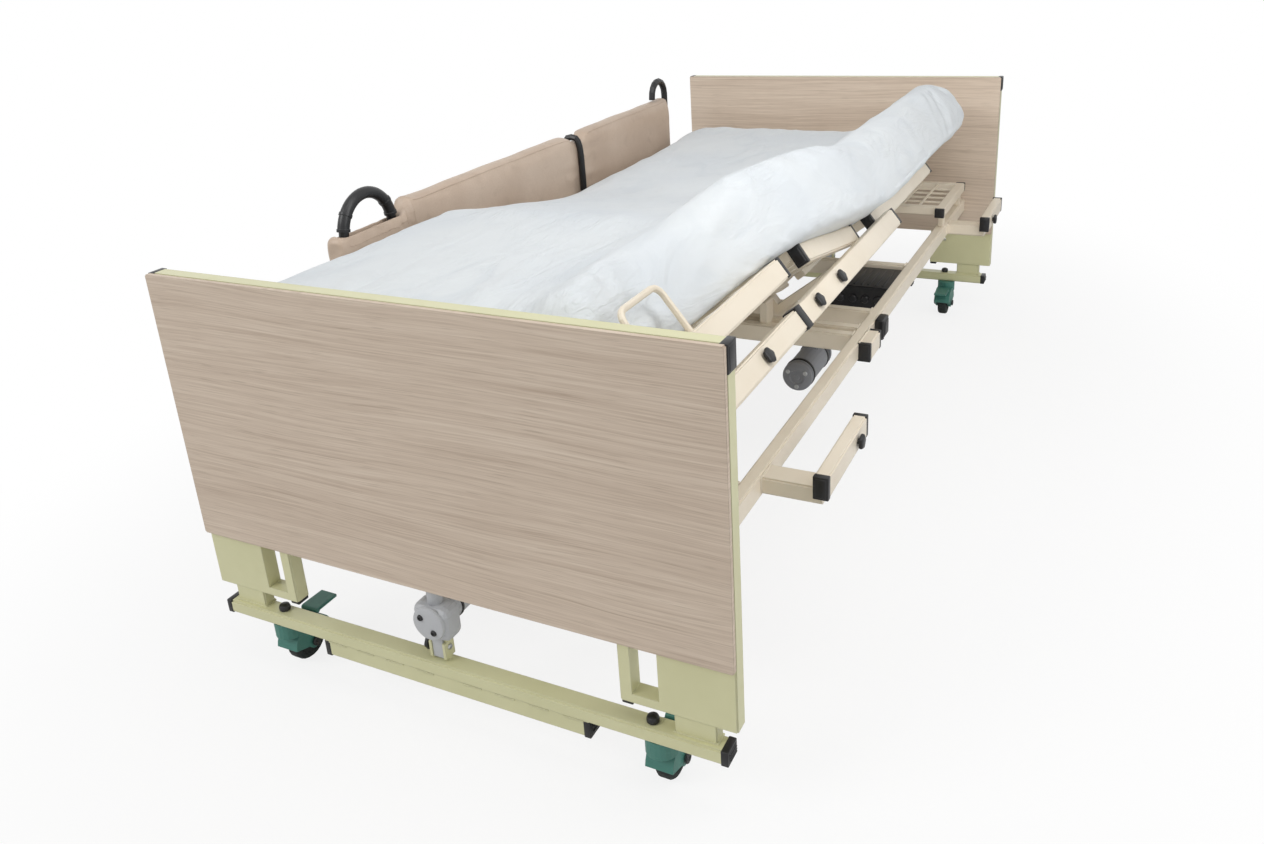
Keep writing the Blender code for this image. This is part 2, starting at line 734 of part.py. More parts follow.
def centre_frame(name, y0, y1, knuckles, lugs, hinge):
    """Middle strip of one section about its own pivot. lugs are (y of the axis, order of knuckle)."""
    half = SMALL_TUBE / 2
    pieces = [
        bar((side * (CENTRE_OUT - SMALL_TUBE), y0, -half), (side * CENTRE_OUT, y1, half), "y", 0.002)
        for side in (-1, 1)
    ]
    pieces.append(bar((-half, y0 + 0.002, -half + 0.001), (half, y1 - 0.002, half - 0.001)))
    for y in spread(y0 + SLAT_W / 2, y1 - SLAT_W / 2):
        reach = CENTRE_OUT - 0.004
        pieces.append(bar((-reach, y - SLAT_W / 2, 0.0), (reach, y + SLAT_W / 2, SLAT_TOP)))
    for side in (-1, 1):
        for y in knuckles:
            pieces.append(bar(
                (side * (CENTRE_OUT - 0.006), y, -0.006), (side * HINGE_X, y + KNUCKLE_L, 0.006)
            ))
            pieces.append(barrel((side * HINGE_X, y, 0), (side * HINGE_X, y + KNUCKLE_L, 0)))
        for y, order in lugs:
            near = y0 if abs(y0 - y) < abs(y1 - y) else y1
            into = near + (0.012 if near == y0 else -0.012)
            x = side * lug_x(order)
            pieces.append(bar((x - KNUCKLE_L / 2, y, -0.006), (x + KNUCKLE_L / 2, into, 0.006)))
            pieces.append(barrel((x - KNUCKLE_L / 2, y, 0), (x + KNUCKLE_L / 2, y, 0)))
    build(name, "ivory_paint", pieces, pivot=hinge)


def wing(name, side, y0, y1, tube0, tube1, knuckles, hinge, loop=None):
    """Side strip of one section about its hinge line. x grows outwards on either side."""
    half = SMALL_TUBE / 2
    inner_out = WING_IN + SMALL_TUBE
    pieces = [
        bar(
            (side * WING_TUBE_IN, tube0, -TUBE_H / 2),
            (side * (WING_TUBE_IN + TUBE_W), tube1, TUBE_H / 2), "y", 0.003,
        ),
        bar((side * WING_IN, y0, -half), (side * inner_out, y1, half), "y", 0.002),
    ]
    first, last = max(y0, tube0) + SLAT_W / 2, min(y1, tube1) - SLAT_W / 2
    for y in spread(first, last):
        pieces.append(bar(
            (side * (inner_out - 0.006), y - SLAT_W / 2, 0.0),
            (side * (WING_TUBE_IN + 0.004), y + SLAT_W / 2, SLAT_TOP),
        ))
    for y in knuckles:
        start = y + KNUCKLE_L + KNUCKLE_GAP
        pieces.append(bar((0.0, start, -0.006), (side * (WING_IN + 0.006), start + KNUCKLE_L, 0.006)))
        pieces.append(barrel((0, start, 0), (0, start + KNUCKLE_L, 0)))
    if loop is not None:
        middle = side * (WING_TUBE_IN + TUBE_W / 2)
        corner = 0.018
        base, top = TUBE_H / 2 - 0.004, TUBE_H / 2 + LOOP_H
        path = [(middle, loop, base)]
        for cy, start in ((loop + corner, 180), (loop + LOOP_L - corner, 90)):
            for k in range(5):
                a = math.radians(start - 22.5 * k)
                path.append((middle, cy + corner * math.cos(a), top - corner + corner * math.sin(a)))
        path.append((middle, loop + LOOP_L, base))
        pieces.append(wire(path, LOOP_R))
    build(name, "ivory_paint", pieces, pivot=hinge)


def beam(name, side, y0, y1, arms, hinge):
    """Lifting beam of one side: outer tube on arms that reach under the wings to the hinge line."""
    out = BEAM_IN + TUBE_W
    low = BEAM_ARM_TOP - BEAM_ARM_T
    pieces = [bar((side * BEAM_IN, y0, BEAM_TOP - TUBE_H), (side * out, y1, BEAM_TOP), "y", 0.003)]
    for y in arms:
        pieces.append(bar(
            (side * -BARREL_R, y, low), (side * (BEAM_IN + 0.004), y + TUBE_W, BEAM_ARM_TOP)
        ))
        pieces.append(bar(
            (side * -BARREL_R, y, BEAM_ARM_TOP - 0.004), (side * BARREL_R, y + TUBE_W, 0.0)
        ))
        pieces.append(barrel((0, y, 0), (0, y + TUBE_W, 0)))
    build(name, "ivory_paint", pieces, pivot=hinge)


def lying_surface():
    hip = along(HIP_AT)
    back = pivot("pivot_back", (0, hip, HINGE_Z))
    thigh = pivot("pivot_thigh", (0, hip, HINGE_Z), turn=(-KNEE_DEG, 0, 0))
    calf = pivot("pivot_calf", (0, -THIGH_L, 0), thigh, (KNEE_DEG, 0, 0))
    knee_at = HIP_AT - THIGH_L
    spans = {
        "back": (back, HIP_AT, HIP_AT + HIP_MARGIN, BACK_END, BACK_WING_FROM, BACK_END),
        "thigh": (
            thigh, HIP_AT, knee_at + HIP_MARGIN, HIP_AT - HIP_MARGIN, THIGH_WING_FROM, THIGH_WING_TO
        ),
        "calf": (calf, knee_at, CALF_END, knee_at - HIP_MARGIN, CALF_END, CALF_WING_TO),
    }
    lugs = {"back": [(0.0, 1)], "thigh": [(0.0, -1), (-THIGH_L, 1)], "calf": [(0.0, 0)]}
    for section, (hinge, zero, y0, y1, tube0, tube1) in spans.items():
        y0, y1, tube0, tube1 = y0 - zero, y1 - zero, tube0 - zero, tube1 - zero
        third = (y1 - y0) / 3
        knuckles = [y0 + third * 0.55, y1 - third * 1.5]
        centre_frame(f"{section}_frame", y0, y1, knuckles, lugs[section], hinge)
        for side, hand, tilt in ((1, "right", -RIGHT_TILT_DEG), (-1, "left", 0.0)):
            line = pivot(f"pivot_{hand}_{section}", (side * HINGE_X, 0, 0), hinge, (0, tilt, 0))
            inner0, inner1 = max(y0, tube0 - 0.03), min(y1, tube1 + 0.03)
            loop = LOOP_FROM - zero if (section, side) == ("calf", 1) else None
            wing(f"{hand}_{section}_wing", side, inner0, inner1, tube0, tube1, knuckles, line, loop)
    for side, hand, tilt in ((1, "right", -RIGHT_TILT_DEG), (-1, "left", 0.0)):
        line = pivot(f"pivot_{hand}_beam", (side * HINGE_X, 0, HINGE_Z), None, (0, tilt, 0))
        arms = [
            along(FOOT_CROSS_AT + TUBE_W / 2) + KNUCKLE_GAP,
            along(MID_CROSS_AT + MID_CROSS_SPACING / 2) + KNUCKLE_GAP,
        ]
        beam(f"{hand}_beam", side, along(BEAM_FROM), along(BEAM_TO), arms, line)


def smoothstep(x, a, b):
    t = min(1.0, max(0.0, (x - a) / (b - a)))
    return t * t * (3 - 2 * t)


def mattress():
    """One soft slab that follows the raised wing and the knee bend."""
    rise_deg = math.radians(KNEE_DEG)
    knee_from_foot = HIP_AT - THIGH_L * math.cos(rise_deg)
    knee_rise = THIGH_L * math.sin(rise_deg)
    tilt = math.atan(math.tan(math.radians(RIGHT_TILT_DEG)) / math.cos(rise_deg))

    def rise(at):
        if at <= knee_from_foot:
            return knee_rise
        return max(0.0, (HIP_AT - at) * math.tan(rise_deg))

    def ring(at, pull):
        low, high = MATT_SEAT + pull, MATT_SEAT + MATT_T - pull
        grow = smoothstep(at, LOOP_FROM + LOOP_L + 0.05, HIP_AT - 0.1)
        reach = MATT_R_FOOT + (MATT_R_HEAD - MATT_R_FOOT) * grow - pull
        left = -MATT_LEFT + pull
        lift_z = HINGE_Z + rise(at)

        def place(t, n, inset):
            """t from -1 (left edge) over 0 (fold) to 1 (right edge), n above the slats' plane."""
            fold = HINGE_X - n * math.tan(tilt / 2)
            if t <= 0:
                x, z = fold + (left + inset - fold) * -t, n
            else:
                far_r = reach - inset
                far = (
                    HINGE_X + far_r * math.cos(tilt) - n * math.sin(tilt),
                    far_r * math.sin(tilt) + n * math.cos(tilt),
                )
                x, z = fold + (far[0] - fold) * t, n + (far[1] - n) * t
            return (x, along(at), lift_z + z)

        edge = MATT_EDGE
        flats = [-1, -0.8, -0.6, -0.4, -0.2, 0, 0.35, 0.7, 1]
        points = [place(t, low, edge) for t in flats]
        points += [place(1, low + edge * 0.4, edge * 0.2), place(1, (low + high) / 2, 0.0)]
        points += [place(1, high - edge * 0.5, edge * 0.25)]
        for t in reversed(flats):
            crown = MATT_CROWN * (1 - t * t)
            points.append(place(t, high + crown - (0 if abs(t) < 1 else 0.002), edge * 1.2))
        points += [place(-1, high - edge * 0.5, edge * 0.25), place(-1, (low + high) / 2, 0.0)]
        points += [place(-1, low + edge * 0.4, edge * 0.2)]
        return points

    def steps(start, stop, count):
        """Even stations after start, up to and with stop."""
        return [start + (stop - start) * (k + 1) / count for k in range(count)]

    near, far = MATT_FROM + MATT_EDGE, MATT_TO - MATT_EDGE
    marks = [near, *steps(near, knee_from_foot, 6), *steps(knee_from_foot, HIP_AT, 5), *steps(HIP_AT, far, 5)]
    stations = [(MATT_FROM, MATT_EDGE), (near - MATT_EDGE * 0.7, MATT_EDGE * 0.35)]
    stations += [(at, 0.0) for at in marks]
    stations += [(far + MATT_EDGE * 0.7, MATT_EDGE * 0.35), (MATT_TO, MATT_EDGE)]
    build("mattress", "sheet", [loft([ring(*s) for s in stations])], smooth=True, soft=True)


def guard():
    """Padded side guard on the left, lifted off upwards from its outriggers."""
    hold = pivot("guard_lift", (-GUARD_X, 0, 0))

    def section(at, thick, bottom, top):
        half, mid, tall = thick / 2, (bottom + top) / 2, (top - bottom) / 2
        points = []
        for k in range(20):
            a = 2 * math.pi * k / 20
            c, s = math.cos(a), math.sin(a)
            points.append((
                math.copysign(abs(c) ** 0.6, c) * half, along(at),
                mid + math.copysign(abs(s) ** 0.45, s) * tall,
            ))
        return points

    def squeeze(at):
        return 1 - (1 - CINCH) * math.exp(-((at - RING_AT) / 0.035) ** 2)

    lower = GUARD_TOP - POCKET_DROP
    tucked = 0.014
    stations = [
        (GUARD_FROM, GUARD_T * 0.6, GUARD_BOTTOM + tucked, lower - tucked),
        (GUARD_FROM + 0.008, GUARD_T * 0.9, GUARD_BOTTOM + 0.004, lower - 0.004),
        (GUARD_FROM + 0.025, GUARD_T, GUARD_BOTTOM, lower),
        (POCKET_TO - 0.02, GUARD_T, GUARD_BOTTOM, lower),
        (POCKET_TO, GUARD_T * 0.96, GUARD_BOTTOM, (lower + GUARD_TOP) / 2),
        (POCKET_TO + 0.02, GUARD_T, GUARD_BOTTOM, GUARD_TOP),
    ]
    around = [0.09, 0.05, 0.025, RING_WAIST]
    marks = [POCKET_TO + (RING_AT - POCKET_TO) * k / 4 for k in (1, 2, 3)]
    marks += [RING_AT - a for a in around] + [RING_AT + a for a in reversed(around)]
    marks += [RING_AT + (GUARD_TO - RING_AT) * k / 4 for k in (1, 2, 3)]
    for at in marks:
        k = squeeze(at)
        draw = RING_DRAW * (1 - k) / (1 - CINCH)
        stations.append((at, GUARD_T * k, GUARD_BOTTOM + draw, GUARD_TOP - draw))
    stations += [
        (GUARD_TO - 0.03, GUARD_T, GUARD_BOTTOM, GUARD_TOP),
        (GUARD_TO - 0.01, GUARD_T * 0.85, GUARD_BOTTOM + 0.006, GUARD_TOP - 0.008),
        (GUARD_TO, GUARD_T * 0.55, GUARD_BOTTOM + tucked, GUARD_TOP - tucked),
    ]
    pocket = bar(
        (-GUARD_T / 2 + POCKET_WALL, along(GUARD_FROM + 0.018), lower - POCKET_DEPTH),
        (GUARD_T / 2 - POCKET_WALL, along(POCKET_TO - 0.012), lower + 0.05),
    )
    rolls = loft([section(*s) for s in stations])
    build("guard_pad", "vinyl", [rolls], [pocket], hold, smooth=True, soft=True)

    a, b = GUARD_FROM + 0.018 + HOOP_R + 0.006, POCKET_TO - 0.012 - HOOP_R - 0.006
    bend = (b - a) / 2
    path = [(0, along(a), lower - POCKET_DEPTH + GAP)]
    for k in range(13):
        turn = math.radians(180 - 15 * k)
        path.append((
            0, along((a + b) / 2 + bend * math.cos(turn)), HOOP_TOP - HOOP_R - bend + bend * math.sin(turn)
        ))
    path.append((0, along(b), lower - POCKET_DEPTH + GAP))
    build("guard_hoop", "dark_plastic", [wire(path, HOOP_R)], pivot=hold, smooth=True)

    k = squeeze(RING_AT + RING_WAIST)
    drawn_in = RING_DRAW * (1 - k) / (1 - CINCH)
    clear = RING_R + RING_CLEAR
    drawn = section(
        RING_AT, GUARD_T * k + 2 * clear, GUARD_BOTTOM + drawn_in - clear, GUARD_TOP - drawn_in + clear
    )
    build("guard_ring", "dark_plastic", [wire(drawn, RING_R, cyclic=True)], pivot=hold, smooth=True)

    post = GUARD_POST_W / 2
    offset = -OUTRIGGER_X + GUARD_X
    post_y = along(FOOT_OUTRIGGER_AT + OUTRIGGER_L * 0.6)
    build("guard_post_foot", "steel", [
        bar(
            (offset - post, post_y - post, OUTRIGGER_TOP + GAP),
            (offset + post, post_y + post, GUARD_BOTTOM - 0.006), "z", 0.003,
        ),
        bar(
            (offset - post, post_y - post * 1.5, GUARD_BOTTOM - 0.012),
            (GUARD_T / 4, post_y + post * 1.5, GUARD_BOTTOM - GAP),
        ),
    ], pivot=hold)
    head_y = along(GUARD_TO) + GAP + HOOP_R
    foot_z = OUTRIGGER_TOP + GAP
    arch = HEAD_ARCH_R
    path = [(offset, head_y, foot_z), (offset, head_y, GUARD_BOTTOM)]
    path.append((0, head_y, GUARD_BOTTOM + HEAD_POST_JOG))
    crest = GUARD_TOP + HEAD_HOOP_RISE - HOOP_R
    path.append((0, head_y, crest - arch))
    for k in range(1, 10):
        turn = math.radians(20 * k)
        path.append((0, head_y - arch + arch * math.cos(turn), crest - arch + arch * math.sin(turn)))
    path.append((0, head_y - 2 * arch, GUARD_TOP + GAP))
    build("guard_post_head", "dark_plastic", [wire(path, HOOP_R)], pivot=hold, smooth=True)


bed_end("foot", -HALF_L, True)
bed_end("head", HALF_L - END_T, False)
for end, way in (("foot", -1), ("head", 1)):
    base = travelling_base(end, way)
    for which, hand_word in ((-1, "left"), (1, "right")):
        castor(f"{end}_{hand_word}", which, way, base)
chassis()
lying_surface()
mattress()
guard()
bpy.context.view_layer.update()
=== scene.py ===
"""Turning bed, dressed for the picture: finishes, soft goods, caps, knobs, welds, light and camera."""
import json
from math import atan, atan2, copysign, cos, exp, pi, radians, sin, sqrt, tan

import bmesh
import bpy
from mathutils import Matrix, Vector, noise
from mathutils.bvhtree import BVHTree

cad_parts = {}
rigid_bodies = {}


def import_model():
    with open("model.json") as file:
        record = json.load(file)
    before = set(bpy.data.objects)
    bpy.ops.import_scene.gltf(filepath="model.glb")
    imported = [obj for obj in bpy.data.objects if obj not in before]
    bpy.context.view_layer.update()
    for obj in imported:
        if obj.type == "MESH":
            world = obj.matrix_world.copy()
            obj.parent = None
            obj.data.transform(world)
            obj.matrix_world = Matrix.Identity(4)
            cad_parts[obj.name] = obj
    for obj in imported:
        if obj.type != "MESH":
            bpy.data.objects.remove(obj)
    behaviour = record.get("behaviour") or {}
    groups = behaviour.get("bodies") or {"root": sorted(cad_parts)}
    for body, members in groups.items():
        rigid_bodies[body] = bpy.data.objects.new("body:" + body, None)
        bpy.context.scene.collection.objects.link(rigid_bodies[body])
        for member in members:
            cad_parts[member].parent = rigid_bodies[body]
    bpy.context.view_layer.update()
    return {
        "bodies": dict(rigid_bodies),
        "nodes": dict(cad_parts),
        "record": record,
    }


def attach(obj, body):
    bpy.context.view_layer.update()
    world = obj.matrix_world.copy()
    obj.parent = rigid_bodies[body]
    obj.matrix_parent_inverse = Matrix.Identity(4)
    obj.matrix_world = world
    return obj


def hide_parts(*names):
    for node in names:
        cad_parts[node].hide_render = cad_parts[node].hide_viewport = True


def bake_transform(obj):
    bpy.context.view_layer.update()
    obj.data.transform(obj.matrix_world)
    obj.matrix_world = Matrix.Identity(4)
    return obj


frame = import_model()
nodes = frame["nodes"]
scene = bpy.context.scene

# ---- sizes shared with the CAD source
HALF_L = 1.118
HINGE_X, HINGE_Z, HIP_Y = 0.186, 0.417, 0.032
HIP_AT, CALF_AT, THIGH_L = 1.150, 0.650, 0.5  # hinge lines from the foot end, and the thigh between them
KNEE, TILT = radians(10), radians(38)
TUBE_W, TUBE_H = 0.025, 0.040
BEAM_X, WING_X = 0.268, 0.225  # middles of the long tubes, from their hinge line
OUTRIGGER_X, OUTRIGGER_Z = 0.52, 0.38
LIFT_X, MOTOR_Z, MOTOR_END, HOUSING_FACE = -0.020, 0.2051, 0.9895, 1.1175  # the last two along Y
TURN_X, TURN_Z = 0.250, 0.235  # axis of the turning motor
CASTOR_X, CASTOR_Y, WHEEL_R = 0.370, 1.061, 0.0375
SIDES = ((1, "right"), (-1, "left"))
ENDS = (("foot", -HALF_L), ("head", 1.082))  # each with the Y of its laminate face
BAR_MID, RAIL_MID, LIFT_MID, END_BACK = 0.017, 0.02215, 0.022, 0.036  # from that face


def along(distance):
    """Y of a point given by its distance from the foot end's outer face."""
    return distance - HALF_L


def section_place(section):
    """Frame of the back, thigh or calf section at rest."""
    hip = Matrix.Translation((0, HIP_Y, HINGE_Z))
    if section == "back":
        return hip
    thigh = hip @ Matrix.Rotation(-KNEE, 4, "X")
    if section == "thigh":
        return thigh
    return thigh @ Matrix.Translation((0, -THIGH_L, 0)) @ Matrix.Rotation(KNEE, 4, "X")


def tilted(side):
    """Turn of a wing or beam about its hinge line: the right one is stored raised."""
    return Matrix.Rotation(-TILT if side > 0 else 0.0, 4, "Y")


def wing_place(section, side):
    return section_place(section) @ Matrix.Translation((side * HINGE_X, 0, 0)) @ tilted(side)


def beam_place(side):
    return Matrix.Translation((side * HINGE_X, 0, HINGE_Z)) @ tilted(side)


# ---- node trees
class Val:
    """A node's output that takes part in Python arithmetic."""

    def __init__(self, tree, socket):
        self.tree, self.socket = tree, socket

    def _math(self, operation, *values):
        return self.tree.node("Math", {"operation": operation}, dict(enumerate(values)))

    def __add__(self, other):
        return self._math("ADD", self, other)

    def __sub__(self, other):
        return self._math("SUBTRACT", self, other)

    def __rsub__(self, other):
        return self._math("SUBTRACT", other, self)

    def __mul__(self, other):
        return self._math("MULTIPLY", self, other)

    __radd__, __rmul__ = __add__, __mul__

    def between(self, low, high):
        """0 below low, 1 above high, smooth in the middle."""
        return self.tree.node(
            "MapRange", {"interpolation_type": "SMOOTHSTEP"},
            {"Value": self, "From Min": low, "From Max": high},
        )

    def wave(self, pitch):
        return self._math("SINE", self * (2 * pi / pitch))


class Tree:
    """A node tree with one way to add any node."""

    def __init__(self, tree, family="ShaderNode"):
        self.tree, self.family = tree, family

    def node(self, kind, settings=None, inputs=None, out=0):
        """A new node's output. A kind that names no family has the tree's own."""
        made = self.tree.nodes.new(kind if "Node" in kind else self.family + kind)
        for name, value in (settings or {}).items():
            if name == "stops":
                ramp = made.color_ramp
                while len(ramp.elements) < len(value):
                    ramp.elements.new(1.0)
                for stop, (place, colour) in zip(ramp.elements, value):
                    stop.position, stop.color = place, colour
            else:
                setattr(made, name, value)
        for name, value in (inputs or {}).items():
            self.put(made.inputs[name], value)
        return Val(self, made.outputs[out])

    def put(self, socket, value):
        if isinstance(value, Val):
            self.tree.links.new(value.socket, socket)
        else:
            socket.default_value = value


class Finish(Tree):
    """A surface finish on a Principled shader."""

    def __init__(self, name, **constants):
        self.material = bpy.data.materials.new(name)
        self.material.use_nodes = True
        super().__init__(self.material.node_tree)
        self.shader = self.tree.nodes["Principled BSDF"]
        self.place = self.node("TexCoord", out=3)
        self.feed(**constants)

    def feed(self, **sockets):
        """Values or links for the shader's sockets."""
        for socket, value in sockets.items():
            self.put(self.shader.inputs[socket.replace("_", " ")], value)
        return self.material

    def stretched(self, scale, place=None):
        return self.node("Mapping", None, {"Vector": place or self.place, "Scale": scale})

    def noise(self, scale, detail=3.0, place=None, warp=0.0, rough=0.5):
        return self.node("TexNoise", None, {
            "Vector": place or self.place, "Scale": scale, "Detail": detail,
            "Roughness": rough, "Distortion": warp,
        })

    def cells(self, scale):
        return self.node("TexVoronoi", None, {"Vector": self.place, "Scale": scale})

    def mix(self, factor, a, b):
        return self.node(
            "Mix", {"data_type": "RGBA", "clamp_factor": True}, {0: factor, 6: a, 7: b}, out=2
        )

    def ramp(self, value, *stops):
        return self.node("ValToRGB", {"stops": stops}, {0: value})

    def axis(self, which):
        return self.node("SeparateXYZ", None, {0: self.place}, out="XYZ".index(which))

    def rounded(self, radius):
        return self.node("Bevel", {"samples": 4}, {"Radius": radius})

    def edges(self, radius):
        """1 on sharp edges, 0 on flats."""
        true_normal = self.node("NewGeometry", out=1)
        dot = self.node(
            "VectorMath", {"operation": "DOT_PRODUCT"},
            {0: self.rounded(radius), 1: true_normal}, out=1,
        )
        return (1.0 - dot).between(0.02, 0.25)

    def bump(self, height, strength, distance, under=None):
        inputs = {"Height": height, "Strength": strength, "Distance": distance}
        if under is not None:
            inputs["Normal"] = under
        return self.node("Bump", None, inputs)


def srgb(red, green, blue):
    """A colour as seen on a screen, 0 to 255, in linear light."""
    def line(c):
        c /= 255
        return c / 12.92 if c <= 0.04045 else ((c + 0.055) / 1.055) ** 2.4
    return (line(red), line(green), line(blue), 1.0)


# ---- finishes
def laminate():
    """Pale wood-look laminate with fine grain along the bed's width."""
    f = Finish("wood_laminate", Specular_IOR_Level=0.4)
    bend = f.noise(1.0, 2, f.stretched((1.3, 1.0, 4.0)))
    lift = f.node("CombineXYZ", None, {2: (bend - 0.5) * 0.045})
    flow = f.node("VectorMath", {"operation": "ADD"}, {0: f.place, 1: lift})
    broad = f.noise(1.0, 3, f.stretched((0.5, 1.0, 14.0), flow))
    streak = f.noise(1.0, 4, f.stretched((2.2, 1.0, 165.0), flow), rough=0.6)
    fine = f.noise(1.0, 3, f.stretched((6.0, 1.0, 480.0), flow))
    pore = f.noise(1.0, 1, f.stretched((16.0, 1.0, 620.0), flow)).between(0.60, 0.72)
    grain = broad * 0.22 + streak * 0.40 + fine * 0.38
    tone = f.ramp(
        grain,
        (0.34, srgb(178, 158, 140)), (0.45, srgb(198, 180, 162)),
        (0.54, srgb(209, 192, 174)), (0.66, srgb(220, 205, 188)),
    )
    tone = f.mix(pore * 0.34, tone, srgb(156, 138, 120))
    tone = f.mix(f.edges(0.0015) * 0.4, tone, srgb(150, 132, 114))
    return f.feed(
        Base_Color=tone, Roughness=0.42 + grain * 0.16,
        Normal=f.bump(fine * 0.5 + pore * -0.5, 0.10, 0.0004, f.rounded(0.0012)),
    )


def powder_coat(name, colour, shade, light, rough):
    """Satin powder coat: orange peel, cloudy gloss, a painted highlight that lightens the edges, faint
    dust.
    """
    f = Finish(name, Specular_IOR_Level=0.5, Coat_Roughness=0.25)
    cloud = f.noise(7.0, 4)
    peel = f.noise(1100.0, 2)
    dust = f.noise(34.0, 5, rough=0.65).between(0.52, 0.78)
    edge_highlight = f.edges(0.003)
    tone = f.mix(cloud.between(0.30, 0.75) * 0.55, colour, shade)
    tone = f.mix(dust * 0.16, tone, shade)
    # painted highlight: the edges are lightened towards the light colour
    tone = f.mix(edge_highlight * 0.45, tone, light)
    return f.feed(
        Base_Color=tone, Roughness=rough + dust * 0.10 + (cloud - 0.5) * 0.12,
        Coat_Weight=0.10 + cloud * 0.12, Normal=f.bump(peel, 0.07, 0.0005, f.rounded(0.0022)),
    )


def moulded(name, colour, light, rough, grain=900.0):
    """Injection-moulded plastic with a fine spark-eroded grain, lighter scuffs and a painted highlight
    along the edges.
    """
    f = Finish(name, Specular_IOR_Level=0.45)
    spark = f.noise(grain, 2)
    scuff = f.noise(60.0, 5, f.stretched((1.0, 1.0, 2.6)), rough=0.7).between(0.55, 0.75)
    edge_highlight = f.edges(0.002)
    tone = f.mix(scuff * 0.22, colour, light)
    # painted highlight: the edges are lightened towards the light colour, which also tints the scuffs
    tone = f.mix(edge_highlight * 0.35, tone, light)
    return f.feed(
        Base_Color=tone, Roughness=rough + spark * 0.10 + scuff * 0.08,
        Normal=f.bump(spark, 0.12, 0.0004, f.rounded(0.0012)),
    )


def bright_steel():
    """Zinc-bright steel with fine turning marks."""
    f = Finish("bright_steel", Metallic=1.0)
    lines = f.noise(1.0, 3, f.stretched((60.0, 60.0, 1500.0)))
    haze = f.noise(18.0, 4)
    tone = f.mix(haze, srgb(176, 178, 180), srgb(205, 206, 207))
    return f.feed(
        Base_Color=tone, Roughness=0.24 + haze * 0.18 + lines * 0.10,
        Normal=f.bump(lines, 0.10, 0.0003, f.rounded(0.0008)),
    )


def cotton():
    """White cotton sheet: plain weave, pulled creases along the bed and painted shade that darkens and
    cools the hollows.
    """
    f = Finish("cotton_sheet", Specular_IOR_Level=0.2, Sheen_Weight=0.15, Sheen_Roughness=0.5)
    x, y, z = (f.axis(a) for a in "XYZ")
    weave = x.wave(0.0016) * y.wave(0.0016) + z.wave(0.0016) * 0.6
    crumple = f.noise(11.0, 4, f.stretched((1.0, 0.40, 1.0)), warp=1.3, rough=0.5)
    pulled = f.noise(1.0, 3, f.stretched((26.0, 7.0, 26.0)), warp=0.9)
    crease = (pulled - 0.5).between(-0.10, 0.10)
    ridge = crease * (1.0 - crease) * 4.0
    where = f.noise(2.6, 2).between(0.44, 0.62)
    blotch = f.noise(3.0, 3)
    tone = f.mix(blotch.between(0.35, 0.70), srgb(223, 227, 229), srgb(217, 222, 226))
    # painted shade: the crumple's hollows are darker and cooler
    tone = f.mix((1.0 - crumple).between(0.50, 0.72) * 0.22, tone, srgb(196, 204, 211))
    return f.feed(
        Base_Color=tone, Roughness=0.82 + weave * 0.03,
        Normal=f.bump(
            weave, 0.05, 0.0004, f.bump(crumple * 1.2 + ridge * where * 0.13, 0.46, 0.016)
        ),
    )


def soft_vinyl():
    """Beige wipe-clean vinyl with a pebbled grain and painted shade in the creases."""
    f = Finish("beige_vinyl", Specular_IOR_Level=0.45, Coat_Roughness=0.35)
    pebble = f.cells(520.0)
    pucker = f.noise(24.0, 4, f.stretched((1.0, 0.6, 1.0)), warp=0.6)
    cloud = f.noise(5.0, 3)
    tone = f.mix(cloud.between(0.3, 0.7), srgb(205, 186, 168), srgb(192, 171, 152))
    tone = f.mix(pebble.between(0.35, 0.75) * 0.22, tone, srgb(170, 148, 128))
    # painted shade: the pucker's hollows are darker
    tone = f.mix((1.0 - pucker).between(0.55, 0.75) * 0.30, tone, srgb(168, 146, 127))
    return f.feed(
        Base_Color=tone, Roughness=0.40 + pebble * 0.14, Coat_Weight=0.08 + cloud * 0.08,
        Normal=f.bump(pebble, 0.16, 0.0006, f.bump(pucker, 0.22, 0.006)),
    )


def rubber():
    """Dark grey tread with road dust."""
    f = Finish("tread_rubber", Specular_IOR_Level=0.3)
    dust = f.noise(70.0, 5, rough=0.7).between(0.45, 0.8)
    pits = f.noise(500.0, 2)
    tone = f.mix(dust * 0.5, srgb(38, 43, 42), srgb(84, 86, 82))
    return f.feed(
        Base_Color=tone, Roughness=0.62 + dust * 0.22, Normal=f.bump(pits, 0.15, 0.0005, f.rounded(0.001))
    )


FINISH = {
    "laminate": laminate(),
    # the third colour of each coat is its painted edge highlight
    "green_paint": powder_coat(
        "pale_green_coat", srgb(214, 212, 170), srgb(201, 199, 154), srgb(228, 226, 196), 0.34
    ),
    "ivory_paint": powder_coat(
        "ivory_coat", srgb(236, 225, 206), srgb(224, 211, 189), srgb(245, 237, 223), 0.36
    ),
    # the second colour of each moulding lights its scuffs and is its painted edge highlight
    "teal_plastic": moulded("teal_moulding", srgb(68, 124, 113), srgb(108, 160, 149), 0.38),
    "tread": rubber(),
    "grey_plastic": moulded("light_grey_moulding", srgb(186, 188, 191), srgb(208, 210, 212), 0.36),
    "dark_plastic": moulded("black_moulding", srgb(28, 28, 30), srgb(66, 66, 68), 0.30),
    "motor_grey": moulded("motor_grey_coat", srgb(134, 136, 141), srgb(168, 170, 174), 0.42, 500.0),
    "steel": bright_steel(),
    "sheet": cotton(),
    "vinyl": soft_vinyl(),
}
THREAD = moulded("sewing_thread", srgb(186, 164, 144), srgb(214, 196, 178), 0.7, 1600.0)

slot_of = {row["node"]: row["material_slot"] for row in frame["record"]["subparts"]}
for name, obj in nodes.items():
    for holder in obj.material_slots:
        holder.material = FINISH[slot_of[name]]
    if not obj.material_slots:
        obj.data.materials.append(FINISH[slot_of[name]])


